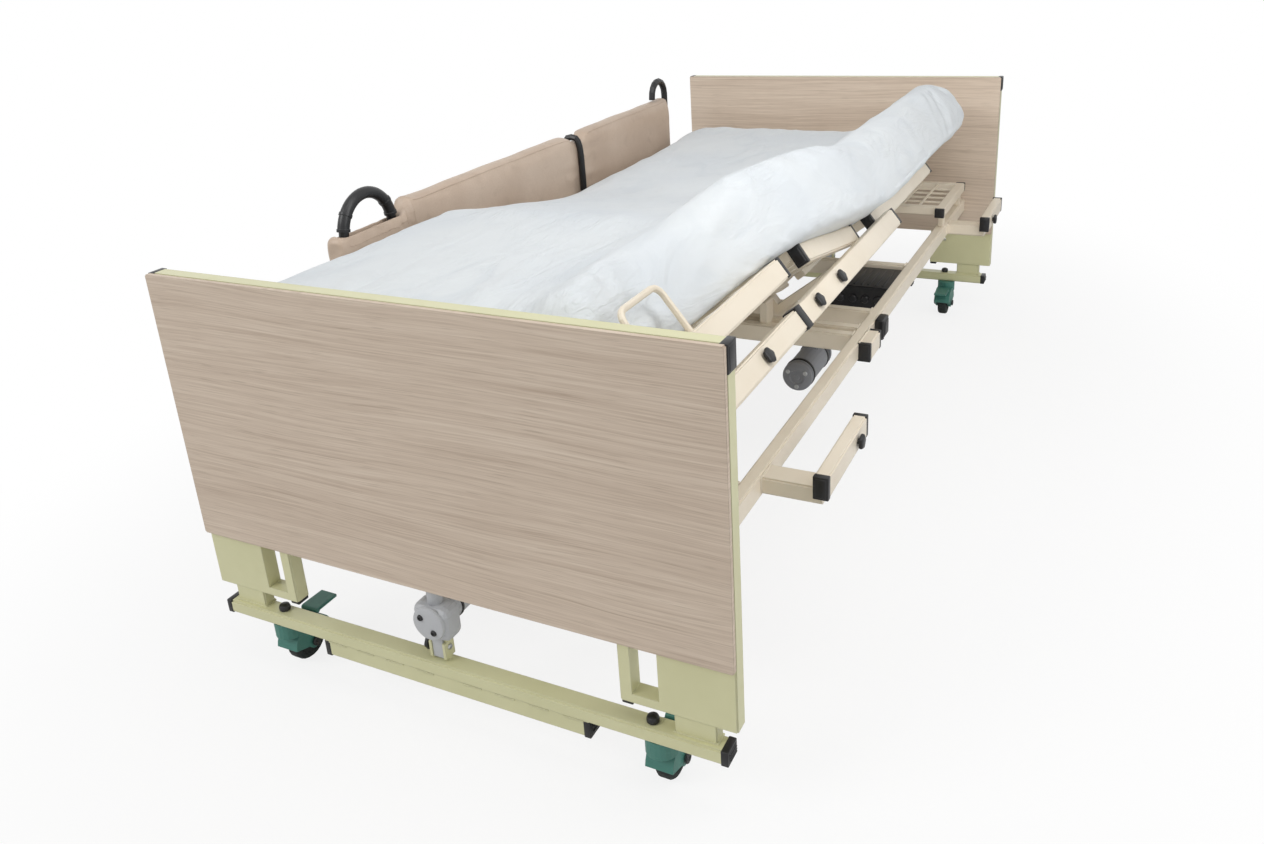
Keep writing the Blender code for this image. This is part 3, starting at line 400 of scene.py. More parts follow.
# ---- mesh helpers
def linked(name, data):
    """A new object in the scene."""
    obj = bpy.data.objects.new(name, data)
    scene.collection.objects.link(obj)
    return obj


def to_mesh(name, bm, turn_out=True):
    """The mesh of finished edits, with its faces turned outwards."""
    if turn_out:
        bmesh.ops.recalc_face_normals(bm, faces=bm.faces)
    mesh = bpy.data.meshes.new(name)
    bm.to_mesh(mesh)
    bm.free()
    return mesh


def applied(obj):
    """The mesh that an object's modifiers make. The object itself goes."""
    graph = bpy.context.evaluated_depsgraph_get()
    mesh = bpy.data.meshes.new_from_object(obj.evaluated_get(graph))
    bpy.data.objects.remove(obj, do_unlink=True)
    return mesh


def seated(obj, body):
    """The object on its body. An object given no body is left unattached."""
    if body is not None:
        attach(obj, body)
    return obj


def placed(name, mesh, slot, body, smooth=40.0):
    """A mesh at the origin as a piece on its body, with its finish."""
    mesh.materials.clear()
    mesh.materials.append(FINISH[slot])
    mesh.shade_smooth()
    mesh.set_sharp_from_angle(angle=radians(smooth))
    return seated(linked(name, mesh), body)


def piece(name, bm, slot, body, smooth=40.0):
    return placed(name, to_mesh(name, bm), slot, body, smooth)


def block(bm, lo, hi, radius, place=Matrix(), segments=2):
    """A box between two corners with all its edges rounded."""
    low = Vector([min(a, b) for a, b in zip(lo, hi)])
    high = Vector([max(a, b) for a, b in zip(lo, hi)])
    made = bmesh.ops.create_cube(bm, size=1.0, matrix=Matrix.Translation((low + high) / 2)
                                 @ Matrix.Diagonal((*(high - low), 1.0)))["verts"]
    edges = {e for v in made for e in v.link_edges}
    radius = min(radius, min(high - low) * 0.45)
    out = bmesh.ops.bevel(
        bm, geom=list(edges), offset=radius, segments=segments, affect="EDGES", profile=0.5
    )
    verts = {v for f in out["faces"] for v in f.verts} | {v for v in made if v.is_valid}
    bmesh.ops.transform(bm, matrix=place, verts=list(verts))


def lathe(bm, profile, place, steps=24, lobes=0, depth=0.0, closed=False):
    """A profile of (radius, height) in millimetres turned about the place's Z. Lobes press grips into it.

    A closed profile makes a ring instead of a solid.
    """
    rows = []
    for radius, height in ((r / 1000, h / 1000) for r, h in profile):
        if radius < 1e-6:
            rows.append([bm.verts.new(place @ Vector((0, 0, height)))])
            continue
        row = []
        for k in range(steps):
            a = 2 * pi * k / steps
            r = radius - (depth * radius * (0.5 - 0.5 * cos(lobes * a)) if lobes else 0.0)
            row.append(bm.verts.new(place @ Vector((r * cos(a), r * sin(a), height))))
        rows.append(row)
    for low, high in zip(rows, rows[1:] + rows[:1] if closed else rows[1:]):
        for k in range(steps):
            n = (k + 1) % steps
            ring = [low[k % len(low)], low[n % len(low)], high[n % len(high)], high[k % len(high)]]
            ring = list(dict.fromkeys(ring))
            if len(ring) > 2:
                bm.faces.new(ring)
    for row, flip in ((rows[0], True), (rows[-1], False)):
        if len(row) > 1 and not closed:
            bm.faces.new(list(reversed(row)) if flip else row)


def pointing(at, way):
    """A place whose Z looks along way."""
    return Matrix.Translation(at) @ Vector(way).to_track_quat("Z", "Y").to_matrix().to_4x4()


def tube(bm, points, radius, sides):
    """A round strand through points, with flat ends."""
    rings, normal = [], None
    for before, p, after in zip(points[:1] + points, points, points[1:] + points[-1:]):
        way = (after - before).normalized()
        if normal is None:
            normal = way.orthogonal().normalized()
        normal = (normal - way * normal.dot(way)).normalized()
        other = way.cross(normal)
        rings.append([
            bm.verts.new(p + (normal * cos(a) + other * sin(a)) * radius)
            for a in (2 * pi * j / sides for j in range(sides))
        ])
    for a, b in zip(rings, rings[1:]):
        for j in range(sides):
            n = (j + 1) % sides
            bm.faces.new((a[j], a[n], b[n], b[j]))
    bm.faces.new(list(reversed(rings[0])))
    bm.faces.new(rings[-1])


# ---- repeated detail by geometry nodes
BEAD = ("MeshIcoSphere", {"Radius": 0.5, "Subdivisions": 2})  # one ripple of a weld
STITCH = ("MeshUVSphere", {"Segments": 8, "Rings": 6, "Radius": 0.5})


def row_tree(name, material, ball, jitter):
    """A tree that sets stretched balls at an even pitch along paths, each turned along its path."""
    group = bpy.data.node_groups.new(name, "GeometryNodeTree")
    face = group.interface
    face.new_socket("Path", in_out="INPUT", socket_type="NodeSocketGeometry")
    for size in ("Pitch", "Length", "Thickness"):
        face.new_socket(size, in_out="INPUT", socket_type="NodeSocketFloat")
    face.new_socket("Row", in_out="OUTPUT", socket_type="NodeSocketGeometry")
    t = Tree(group, "GeometryNode")
    entry = group.nodes.new("NodeGroupInput")
    path, pitch, length, thick = (Val(t, entry.outputs[k]) for k in range(4))
    curve = t.node("MeshToCurve", None, {"Mesh": path})
    points = t.node("ResampleCurve", {"mode": "LENGTH"}, {"Curve": curve, "Length": pitch})
    tangent = t.node("InputTangent")
    turn = t.node("FunctionNodeAlignRotationToVector", {"axis": "Z"}, {"Vector": tangent})
    size = t.node(
        "FunctionNodeRandomValue", {"data_type": "FLOAT"},
        {2: 1.0 - jitter, 3: 1.0 + jitter, "Seed": 7}, out=1,
    )
    scale = t.node("ShaderNodeCombineXYZ", None, {0: size, 1: size, 2: size})
    stretch = t.node("ShaderNodeCombineXYZ", None, {0: thick, 1: thick, 2: length})
    shape = t.node("Transform", None, {
        "Geometry": t.node(ball[0], None, ball[1]), "Scale": stretch,
    })
    rows = t.node("InstanceOnPoints", None, {
        "Points": points, "Instance": shape, "Rotation": turn, "Scale": scale,
    })
    real = t.node("RealizeInstances", None, {0: rows})
    smooth = t.node("SetShadeSmooth", None, {0: real})
    done = t.node("SetMaterial", None, {"Geometry": smooth, "Material": material})
    leave = group.nodes.new("NodeGroupOutput")
    group.links.new(done.socket, leave.inputs[0])
    return group


WELD_ROWS = {
    slot: row_tree(f"weld_row_{slot}", FINISH[slot], BEAD, 0.14) for slot in ("ivory_paint", "green_paint")
}
STITCH_ROW = row_tree("stitch_row", THREAD, STITCH, 0.05)


def grown(name, tree, paths, sizes, body):
    """The tree's result along open paths of points, as a plain mesh on its body."""
    verts, edges = [], []
    for path in paths:
        edges += [(len(verts) + k, len(verts) + k + 1) for k in range(len(path) - 1)]
        verts += [tuple(p) for p in path]
    wire = bpy.data.meshes.new("paths")
    wire.from_pydata(verts, edges, [])
    carrier = linked("carrier", wire)
    step = carrier.modifiers.new("grow", "NODES")
    step.node_group = tree
    for item in tree.interface.items_tree:
        if item.in_out == "INPUT" and item.name in sizes:
            step[item.identifier] = sizes[item.name]
    mesh = applied(carrier)
    mesh.name = name
    return seated(linked(name, mesh), body)


# ---- end caps
CAP_SLEEVE, CAP_LIP, CAP_OVER = 0.010, 0.0022, 0.0004
CAP_INSET, RIB_INSET, RIB_HALF = 0.004, 0.006, 0.0012
WAY_OUT = {1: "x", -1: "-x"}
FLOOR_BAR = (0.485, 0.1145, 0.034, 0.025, 3)  # half length, height, width, depth, ribs on its caps
UNDER_BAR = (0.260, 0.087, 0.030, 0.030, 2)
RAIL_HALF, RAIL_Z, RAIL_W = 0.5, 0.726, 0.0277
STUB_X, STUB_Z, STUB_W = 0.4265, 0.353, 0.027
OUTRIGGERS = (("foot", 0.33, 0.505), ("head", 1.90, 1.965))  # start and knob, from the foot end
OUTRIGGER_L = 0.24
WING_TUBES = (  # hinge line, start and end, from the foot end
    ("back", HIP_AT, 1.226, 1.815), ("thigh", HIP_AT, 0.67, 1.045), ("calf", CALF_AT, 0.08, 0.59),
)
DECK_X, DECK_Z = 0.4075, 0.424


def end_cap(bm, at, way, wide, tall, ribs=0, place=Matrix()):
    """Black plug on a tube's end: a thin sleeve with a lip, an inset face and optional ribs.

    at is the middle of the tube's end, way the axis that looks out of the tube (a signed letter).
    wide is the size along the first of the two other axes, tall along the second.
    """
    sign = -1 if way[0] == "-" else 1
    turn = {"x": (1, 2, 0), "y": (0, 2, 1)}[way[-1]]

    def corner(*moves):
        c = list(at)
        for axis, move in zip(turn, moves):
            c[axis] += move
        return c

    def slab(u, v0, v1, w0, w1, radius):
        block(bm, corner(-u, v0, sign * w0), corner(u, v1, sign * w1), radius, place)

    hu, hv = wide / 2 + CAP_OVER, tall / 2 + CAP_OVER
    slab(hu, -hv, hv, -CAP_SLEEVE, CAP_LIP, 0.0016)
    slab(hu - CAP_INSET, -hv + CAP_INSET, hv - CAP_INSET, 0.0, CAP_LIP + 0.0008, 0.0007)
    for k in range(ribs):
        v = (k + 0.5) / ribs * (2 * hv - 2 * RIB_INSET) - hv + RIB_INSET
        slab(hu - RIB_INSET, v - RIB_HALF, v + RIB_HALF, 0.0, CAP_LIP + 0.0026, 0.0008)


def caps(name, body, rows, place=Matrix()):
    bm = bmesh.new()
    for row in rows:
        end_cap(bm, *row, place=place)
    return piece(name, bm, "dark_plastic", body)


def both_ends(start, end):
    """Y of both ends of a tube along the bed, each with the way it looks."""
    return (along(start), "-y"), (along(end), "y")


for word, face in ENDS:
    caps(f"{word}_base_caps", f"{word}_base", [
        ((s * half, face + BAR_MID, z), WAY_OUT[s], wide, tall, ribs)
        for half, z, wide, tall, ribs in (FLOOR_BAR, UNDER_BAR) for s in (-1, 1)
    ])
    caps(f"{word}_top_rail_caps", "chassis", [
        ((s * RAIL_HALF, face + RAIL_MID, RAIL_Z), WAY_OUT[s], RAIL_W, TUBE_H) for s in (-1, 1)
    ])

for side, hand in SIDES:
    caps(f"{hand}_stub_caps", "chassis", [
        ((side * STUB_X, y, STUB_Z), way, STUB_W, TUBE_H) for y, way in both_ends(0.95, 1.04)
    ])
    for word, start, _ in OUTRIGGERS:
        caps(f"outrigger_{word}_{hand}_caps", "chassis", [
            ((side * OUTRIGGER_X, y, OUTRIGGER_Z), way, TUBE_W, TUBE_H)
            for y, way in both_ends(start, start + OUTRIGGER_L)
        ])
    caps(f"{hand}_beam_caps", f"{hand}_beam", [
        ((side * BEAM_X, y, -TUBE_H / 2), way, TUBE_W, TUBE_H) for y, way in both_ends(0.12, 1.25)
    ], beam_place(side))
    for section, zero, start, end in WING_TUBES:
        caps(f"{hand}_{section}_wing_caps", f"{hand}_{section}_wing", [
            ((side * WING_X, d - zero, 0.0), way, TUBE_W, TUBE_H) for d, way in ((start, "-y"), (end, "y"))
        ], wing_place(section, side))
caps("head_deck_caps", "chassis", [
    ((s * DECK_X, y, DECK_Z), way, TUBE_W, TUBE_W) for s in (-1, 1) for y, way in both_ends(1.83, 2.16)
])

# ---- knobs, pins, buffers, screws
KNOB = [
    (0, 0), (5.5, 0), (5.5, 2.2), (9.8, 2.6), (13.2, 4), (14, 6.2), (13.6, 9.2), (11.2, 10.8), (6, 11.5),
    (0, 11.6),
]
GRIP = {"steps": 30, "lobes": 5, "depth": 0.16}
BUFFER = [(0, 0), (8.5, 0), (10, 2), (10, 7), (8.5, 10.5), (4.5, 12.5), (0, 13)]
SCREW = [(0, 0), (5.5, 0), (5.5, 1.2), (4.6, 2.8), (2.6, 3.4), (2.4, 1.8), (0, 1.8)]
PIN_Z, EAR_HALF = 0.150, 0.0158


def turned_set(name, profile, slot, body, rows, place=Matrix(), steps=24, closed=False, lobes=0, depth=0.0):
    """The same turned shape at several places, each given by its foot and the way it looks."""
    bm = bmesh.new()
    for at, way in rows:
        lathe(bm, profile, place @ pointing(at, way), steps, lobes, depth, closed)
    return piece(name, bm, slot, body, 35.0)


for side, hand in SIDES:
    out = (side, 0, 0)
    for word, _, knob in OUTRIGGERS:
        turned_set(f"outrigger_{word}_{hand}_knob", KNOB, "dark_plastic", "chassis", [
            ((side * (OUTRIGGER_X + TUBE_W / 2), along(knob), OUTRIGGER_Z), out),
        ], **GRIP)
    turned_set(f"{hand}_beam_knobs", KNOB, "dark_plastic", f"{hand}_beam", [
        ((side * (BEAM_X + TUBE_W / 2 + over), along(d), -TUBE_H / 2), out)
        for d, over in ((0.37, 0.0), (0.64, 0.001), (0.78, 0.001))
    ], beam_place(side), **GRIP)
for word, face in ENDS:
    lift_y = face + LIFT_MID
    turned_set(f"{word}_lift_pin_head", KNOB, "dark_plastic", f"{word}_base", [
        ((LIFT_X - EAR_HALF, lift_y, PIN_Z), (-1, 0, 0)),
    ], steps=30, lobes=6, depth=0.08)
    turned_set(f"{word}_lift_pin_nut", SCREW, "steel", f"{word}_base", [
        ((LIFT_X + EAR_HALF, lift_y, PIN_Z), (1, 0, 0)),
    ], steps=6)
    pads = bmesh.new()
    for s in (-1, 1):
        block(pads, (s * 0.316, face + 0.0105, 0.153), (s * 0.3345, face + 0.0345, 0.1605), 0.0015)
    piece(f"{word}_leg_pads", pads, "dark_plastic", "chassis")
    turned_set(f"{word}_leg_buffers", BUFFER, "dark_plastic", f"{word}_base", [
        ((s * 0.362, face + 0.018, 0.127), (0, 0, 1)) for s in (-1, 1)
    ], steps=20)
    turned_set(f"{word}_leg_screws", SCREW, "steel", "chassis", [
        ((s * x, face + END_BACK, z), (0, 1, 0))
        for s in (-1, 1) for x in (0.43, 0.485) for z in (0.30, 0.50, 0.66)
    ], steps=16)


# ---- welds, fittings and drives
def arch(x, y0, y1, low, high):
    """A weld's run up one side, over the top and down the other."""
    def line(a, b):
        return [Vector(a).lerp(Vector(b), k / 6) for k in range(6)]
    return (
        line((x, y0, low), (x, y0, high)) + line((x, y0, high), (x, y1, high))
        + line((x, y1, high), (x, y1, low)) + [Vector((x, y1, low))]
    )


WELD = {"Pitch": 0.0024, "Length": 0.0034, "Thickness": 0.0044}
for word, face in ENDS:
    runs = []
    for s in (-1, 1):
        # round each post's foot, then short runs on the under-bar
        x0, x1, y0, y1, z = s * 0.400, s * 0.467, face + 0.011, face + 0.033, 0.1272
        runs.append([(x0, y0, z), (x1, y0, z), (x1, y1, z), (x0, y1, z), (x0, y0, z)])
        for k in range(4):
            x = s * (0.030 + 0.062 * k)
            runs += [[(x, face + y, 0.1016), (x + s * 0.034, face + y, 0.1016)] for y in (0.0022, 0.0318)]
    grown(f"{word}_base_welds", WELD_ROWS["green_paint"], runs, WELD, f"{word}_base")

runs = []  # cross tubes on the rails, outriggers, stubs
for s in (-1, 1):
    for d in (0.300, 0.9975, 1.0425, HIP_AT, 1.500):
        runs.append(arch(s * 0.3898, along(d) - 0.0125, along(d) + 0.0125, 0.337, 0.3750))
    for _, start, _ in OUTRIGGERS:
        y0, y1 = along(start + 0.015), along(start + 0.065)
        runs += [arch(s * 0.4154, y0, y1, 0.343, 0.3712), arch(s * 0.5072, y0, y1, 0.362, 0.3712)]
    runs.append([(s * 0.4152, along(0.953), 0.3738), (s * 0.4152, along(1.037), 0.3738)])
grown("chassis_welds", WELD_ROWS["ivory_paint"], runs, WELD, "chassis")

place = wing_place("calf", 1)
ring = [2 * pi * k / 18 for k in range(19)]
runs = [
    [place @ Vector((WING_X + 0.006 * cos(a), d - CALF_AT + 0.006 * sin(a), 0.0203)) for a in ring]
    for d in (0.105, 0.230)
]
thin = {**WELD, "Thickness": 0.0034}
grown("loop_welds", WELD_ROWS["ivory_paint"], runs, thin, "right_calf_wing")

# castors: axle caps on both cheeks
AXLE = [(0, 0), (9.5, 0), (9.5, 1.6), (8, 3.2), (4.5, 3.6), (3.6, 2.4), (0, 2.4)]
CHEEK = 0.0259
for word, y in (("foot", -CASTOR_Y), ("head", CASTOR_Y)):
    for side, hand in SIDES:
        turned_set(f"castor_{word}_{hand}_axle_caps", AXLE, "dark_plastic", f"castor_{word}_{hand}", [
            ((side * CASTOR_X + s * CHEEK, y, WHEEL_R), (s, 0, 0)) for s in (-1, 1)
        ], steps=28)

# lift drives: motor end cap, clamp bands, gear cover with screws, collar on the tube
CAP_END = [(0, -4), (24.6, -4), (25, 0), (24.6, 4.2), (21.5, 6.6), (14, 7.4), (12, 5.8), (0, 5.8)]
BAND = [(23.6, 0), (25.2, 0.6), (25.6, 1.6), (25.6, 4.4), (25.2, 5.4), (23.6, 6)]
COVER = [(0, -2), (30, -2), (30.2, 1), (28.8, 3.6), (25, 5), (18, 5.6), (0, 5.8)]
COLLAR = [(12.2, 0), (14.8, 1), (15.4, 3), (15.4, 12), (14.6, 14.5), (12.2, 15)]
COLLAR_Z = 0.560
for word, face in ENDS:
    inward = 1 if word == "foot" else -1
    outer = -inward * HOUSING_FACE
    body = f"{word}_base"
    turned_set(f"{word}_lift_motor_cap", CAP_END, "dark_plastic", body, [
        ((LIFT_X, -inward * MOTOR_END, MOTOR_Z), (0, inward, 0)),
    ], steps=36)
    turned_set(f"{word}_lift_motor_bands", BAND, "dark_plastic", body, [
        ((LIFT_X, -inward * (MOTOR_END + back), MOTOR_Z), (0, inward, 0)) for back in (0.030, 0.072)
    ], steps=36, closed=True)
    turned_set(f"{word}_lift_covers", COVER, "grey_plastic", body, [
        ((LIFT_X, outer, MOTOR_Z), (0, -inward, 0)),
    ], steps=48)
    turned_set(f"{word}_lift_screws", SCREW, "dark_plastic", body, [
        ((LIFT_X + x, outer - inward * 0.0052, MOTOR_Z + z), (0, -inward, 0))
        for x, z in ((-0.012, 0.011), (0.011, -0.012))
    ], steps=16)
    turned_set(f"{word}_lift_collar", COLLAR, "dark_plastic", body, [
        ((LIFT_X, face + LIFT_MID, COLLAR_Z), (0, 0, 1)),
    ], steps=36, closed=True)

# turning motor: an end bell at each end, screws in the foot one and two clamp bands
BELL = [
    (0, -3), (34.5, -3), (35.2, 0), (34.5, 5), (30, 8.5), (17.5, 9.8), (16, 7), (7, 7), (6, 9), (0, 9.2),
]
SCREW_RING = 0.0235
turned_set("turning_motor_bells", BELL, "motor_grey", "chassis", [
    ((TURN_X, -0.073, TURN_Z), (0, -1, 0)), ((TURN_X, 0.077, TURN_Z), (0, 1, 0)),
], steps=40)
turned_set("turning_motor_bands", [(r + 10.4, h * 1.4) for r, h in BAND], "dark_plastic", "chassis", [
    ((TURN_X, y, TURN_Z), (0, 1, 0)) for y in (-0.058, 0.050)
], steps=40, closed=True)
turned_set("turning_motor_screws", SCREW, "steel", "chassis", [
    ((TURN_X + SCREW_RING * cos(a), -0.0815, TURN_Z + SCREW_RING * sin(a)), (0, -1, 0))
    for a in (radians(30 + 120 * k) for k in range(3))
], steps=16)

# control box: ribbed lid and sockets
box = bmesh.new()
block(box, (0.214, 0.213, 0.3625), (0.3855, 0.365, 0.3655), 0.0014)
for k in range(9):
    x = 0.226 + 0.0175 * k
    block(box, (x, 0.226, 0.365), (x + 0.006, 0.352, 0.3676), 0.0012)
for k in range(5):
    socket = pointing((0.238 + 0.031 * k, 0.209, 0.334), (0, -1, 0))
    lathe(box, [(0, 0), (9.5, 0), (9.5, 5), (8, 6.5), (0, 6.5)], socket, 20)
piece("control_box_lid", box, "dark_plastic", "chassis", 35.0)

# small switch box on the right rail
box = bmesh.new()
block(box, (0.4152, along(1.082), 0.334), (0.436, along(1.128), 0.378), 0.004, segments=3)
block(box, (0.436, along(1.090), 0.340), (0.4378, along(1.120), 0.372), 0.0012)
gland = pointing((0.4255, along(1.105), 0.334), (0, 0, -1))
lathe(box, [(0, 0), (6, 0), (6, 8), (4, 10), (0, 10)], gland, 18)
piece("rail_switch_box", box, "dark_plastic", "chassis", 35.0)


def over_beam(name, side, hand, span, wall, radius, segments, slot):
    """A sleeve round a lifting beam's long tube."""
    bm = bmesh.new()
    inner, outer = BEAM_X - TUBE_W / 2 - wall, BEAM_X + TUBE_W / 2 + wall
    block(
        bm, (side * inner, along(span[0]), -TUBE_H - wall), (side * outer, along(span[1]), wall),
        radius, beam_place(side), segments,
    )
    piece(f"{hand}_beam_{name}", bm, slot, f"{hand}_beam", 35.0)


for side, hand in SIDES:
    over_beam("sleeve", side, hand, (0.560, 1.236), 0.0012, 0.0032, 3, "ivory_paint")
    over_beam("collar", side, hand, (0.548, 0.572), 0.0026, 0.0022, 2, "dark_plastic")


# ---- soft goods
def skin(rings):
    """A closed skin through rings of equally many points."""
    bm = bmesh.new()
    rows = [[bm.verts.new(co) for co in ring] for ring in rings]
    count = len(rows[0])
    for a, b in zip(rows, rows[1:]):
        for k in range(count):
            bm.faces.new((a[k], a[(k + 1) % count], b[(k + 1) % count], b[k]))
    bm.faces.new(rows[0])
    bm.faces.new(list(reversed(rows[-1])))
    return to_mesh("skin", bm)


def settled(mesh, *changes):
    """The mesh with modifiers applied, each given as (kind, settings)."""
    obj = linked("work", mesh)
    for kind, settings in changes:
        step = obj.modifiers.new(kind.lower(), kind)
        for name, value in settings.items():
            setattr(step, name, value)
    return applied(obj)


def voxel(size):
    return ("REMESH", {"mode": "VOXEL", "voxel_size": size, "use_smooth_shade": True})


SUBDIVIDED = ("SUBSURF", {"levels": 1, "render_levels": 1})
FRAMES = 20


def puffed(mesh, pressure, slack, cap, pinned):
    """Cloth over its filling: inner pressure and a little surplus fabric, each point held within cap."""
    obj = linked("cloth", mesh)
    start = [v.co.copy() for v in mesh.vertices]
    pins = obj.vertex_groups.new(name="pins")
    for v in mesh.vertices:
        if pinned(v):
            pins.add([v.index], 1.0, "REPLACE")
    cloth = obj.modifiers.new("cloth", "CLOTH")
    for name, value in {
        "use_pressure": True, "uniform_pressure_force": pressure, "quality": 4, "mass": 0.25,
        "tension_stiffness": 18, "compression_stiffness": 18, "bending_stiffness": 0.35,
        "shrink_min": -slack, "vertex_group_mass": "pins",
    }.items():
        setattr(cloth.settings, name, value)
    cloth.settings.effector_weights.gravity = 0.0
    cloth.collision_settings.use_collision = False
    cloth.collision_settings.use_self_collision = False
    cloth.point_cache.frame_start, cloth.point_cache.frame_end = 1, FRAMES
    for number in range(1, FRAMES + 1):
        scene.frame_set(number)
    graph = bpy.context.evaluated_depsgraph_get()
    shape = obj.evaluated_get(graph).data
    ends = [v.co.copy() for v in shape.vertices]
    obj.modifiers.remove(cloth)
    scene.frame_set(1)
    for v, a, b in zip(mesh.vertices, start, ends):
        move = b - a
        if move.length > cap:
            move *= cap / move.length
        v.co = a + move
    kept = mesh.copy()
    bpy.data.objects.remove(obj, do_unlink=True)
    return kept


def facings(mesh):
    """Every vertex with its normal, read before any of them moves."""
    return list(zip(mesh.vertices, [v.normal.copy() for v in mesh.vertices]))


def smoothstep(x, a, b):
    t = min(1.0, max(0.0, (x - a) / (b - a)))
    return t * t * (3 - 2 * t)


# mattress: one slab that bends over the raised wing and the knee
MATT_T, MATT_SEAT, MATT_FROM, MATT_TO = 0.160, 0.0212, 0.060, 2.100
MATT_LEFT, REACH_HEAD, REACH_FOOT = 0.441, 0.345, 0.196
EDGE_TOP, EDGE_LOW, END_ROUND, CROWN = 0.062, 0.034, 0.060, 0.007
FOLD_HALF = 0.110
TONGUE_IN, TONGUE_BEHIND, TONGUE_AHEAD = 0.007, 0.05, 0.03  # under the sheet, and past the fold each way
TONGUE_UP = {"back": 0.095, "thigh": 0.030}  # a tongue fills the fold from this height up
KNEE_AT = HIP_AT - THIGH_L * cos(KNEE)
SLOPE = atan(tan(TILT) / cos(KNEE))
FOLD_R = 2 * FOLD_HALF / SLOPE
FOLD_D = FOLD_R * tan(SLOPE / 2)


def bent(u, n):
    """x and z of a point u across and n above the slats, past the smooth fold at the hinge line."""
    t = u - (HINGE_X - FOLD_D)
    if t <= 0:
        return u, n
    if t < 2 * FOLD_HALF:
        a = t / FOLD_R
        return HINGE_X - FOLD_D + (FOLD_R - n) * sin(a), FOLD_R - (FOLD_R - n) * cos(a)
    r = t - 2 * FOLD_HALF + FOLD_D
    return HINGE_X + r * cos(SLOPE) - n * sin(SLOPE), r * sin(SLOPE) + n * cos(SLOPE)


def knee_rise(at):
    """Height of the slats over the hip's level, rounded over the knee and the hip."""
    def plain(d):
        return THIGH_L * sin(KNEE) if d <= KNEE_AT else max(0.0, (HIP_AT - d) * tan(KNEE))
    near = [-0.06, -0.03, 0.0, 0.03, 0.06]
    return max(plain(at), sum(plain(at + s) for s in near) / len(near))


def corner_arc(u, n, radius, start, steps):
    """Points of a rounded corner, every 10 degrees from a start angle."""
    return [
        (u + radius * cos(radians(start + 10 * k)), n + radius * sin(radians(start + 10 * k)))
        for k in steps
    ]


def mattress_ring(at, pull):
    """The slab's outline at a distance from the foot end, drawn in by pull."""
    grow = smoothstep(at, 0.28, HIP_AT - 0.1)
    reach = REACH_FOOT + (REACH_HEAD - REACH_FOOT) * grow
    left, right_edge = -MATT_LEFT + pull, HINGE_X - FOLD_D + 2 * FOLD_HALF + reach - FOLD_D - pull
    low, high = MATT_SEAT + pull * 0.55, MATT_SEAT + MATT_T - pull
    lift = HINGE_Z + knee_rise(at)
    top_r = min(EDGE_TOP, (high - low) * 0.50)
    low_r = min(EDGE_LOW, (high - low) * 0.30)
    flat = [(left + low_r + (right_edge - left - 2 * low_r) * k / 35, low) for k in range(36)]
    flat += corner_arc(right_edge - low_r, low + low_r, low_r, -90, range(1, 10))
    flat += corner_arc(right_edge - top_r, high - top_r, top_r, 0, range(1, 10))
    wide = right_edge - left - 2 * top_r
    for t in (k / 48 for k in range(1, 48)):
        flat.append((right_edge - top_r - wide * t, high + CROWN * sin(pi * t)))
    flat += corner_arc(left + top_r, high - top_r, top_r, 90, range(9))
    flat += corner_arc(left + low_r, low + low_r, low_r, 180, range(9))
    return [(x, along(at), lift + z) for x, z in (bent(u, n) for u, n in flat)]


def mattress_skin():
    turns = [radians(90 * k / 8) for k in range(9)]
    first = [
        (MATT_FROM + END_ROUND * (1 - cos(a)), END_ROUND * (1 - sin(a))) for a in turns
    ]
    middle = [
        (MATT_FROM + END_ROUND + (MATT_TO - MATT_FROM - 2 * END_ROUND) * k / 90, 0.0) for k in range(1, 90)
    ]
    last = [(MATT_TO + MATT_FROM - at, pull) for at, pull in reversed(first)]
    return skin([mattress_ring(at, pull) for at, pull in first + middle + last])


def rumpled(mesh):
    """Shallow pulls in the sheet: long waves, gathers at both ends, creases towards the loop."""
    loop = wing_place("calf", 1) @ Vector((0.190, 0.1675 - CALF_AT, 0.090))
    for v, way in facings(mesh):
        x, y, z = v.co
        wave = noise.noise(Vector((x * 5.0, y * 2.2, z * 5.0)))
        ridge = 1 - abs(noise.noise(Vector((x * 9.0 + y * 3.0, y * 2.6, z * 8.0)))) * 2.0
        head = smoothstep(y, 0.70, 0.96)
        foot = 1 - smoothstep(y, -0.95, -0.55)
        pull = noise.noise(Vector((x * 26.0, y * 7.0, z * 26.0)))
        fold = noise.noise(Vector((x * 17.0, y * 1.3 + 4.0, z * 17.0)))
        valley = exp(-(((x - 0.16) / 0.12) ** 2))
        depth = 0.0034 * wave + 0.0034 * max(0.0, ridge) ** 3 + 0.0030 * valley * fold
        depth += (0.0056 * head + 0.0050 * foot) * pull
        near = exp(-((((v.co - loop).length - 0.06) / 0.09) ** 2))
        depth += 0.0030 * near * cos(7 * atan2(y - loop.y, z - loop.z) + 3 * wave)
        v.co += way * depth
    return mesh


def kept_side(mesh, cuts):
    """The part of a mesh behind each cut plane, closed again. cuts are (point, way out)."""
    bm = bmesh.new()
    bm.from_mesh(mesh)
    for point, way in cuts:
        geometry = bm.verts[:] + bm.edges[:] + bm.faces[:]
        bmesh.ops.bisect_plane(bm, geom=geometry, plane_co=point, plane_no=way, clear_outer=True)
        rim = [e for e in bm.edges if e.is_boundary]
        lid = bmesh.ops.holes_fill(bm, edges=rim, sides=0)["faces"]
        bmesh.ops.triangulate(bm, faces=lid)
    return bm


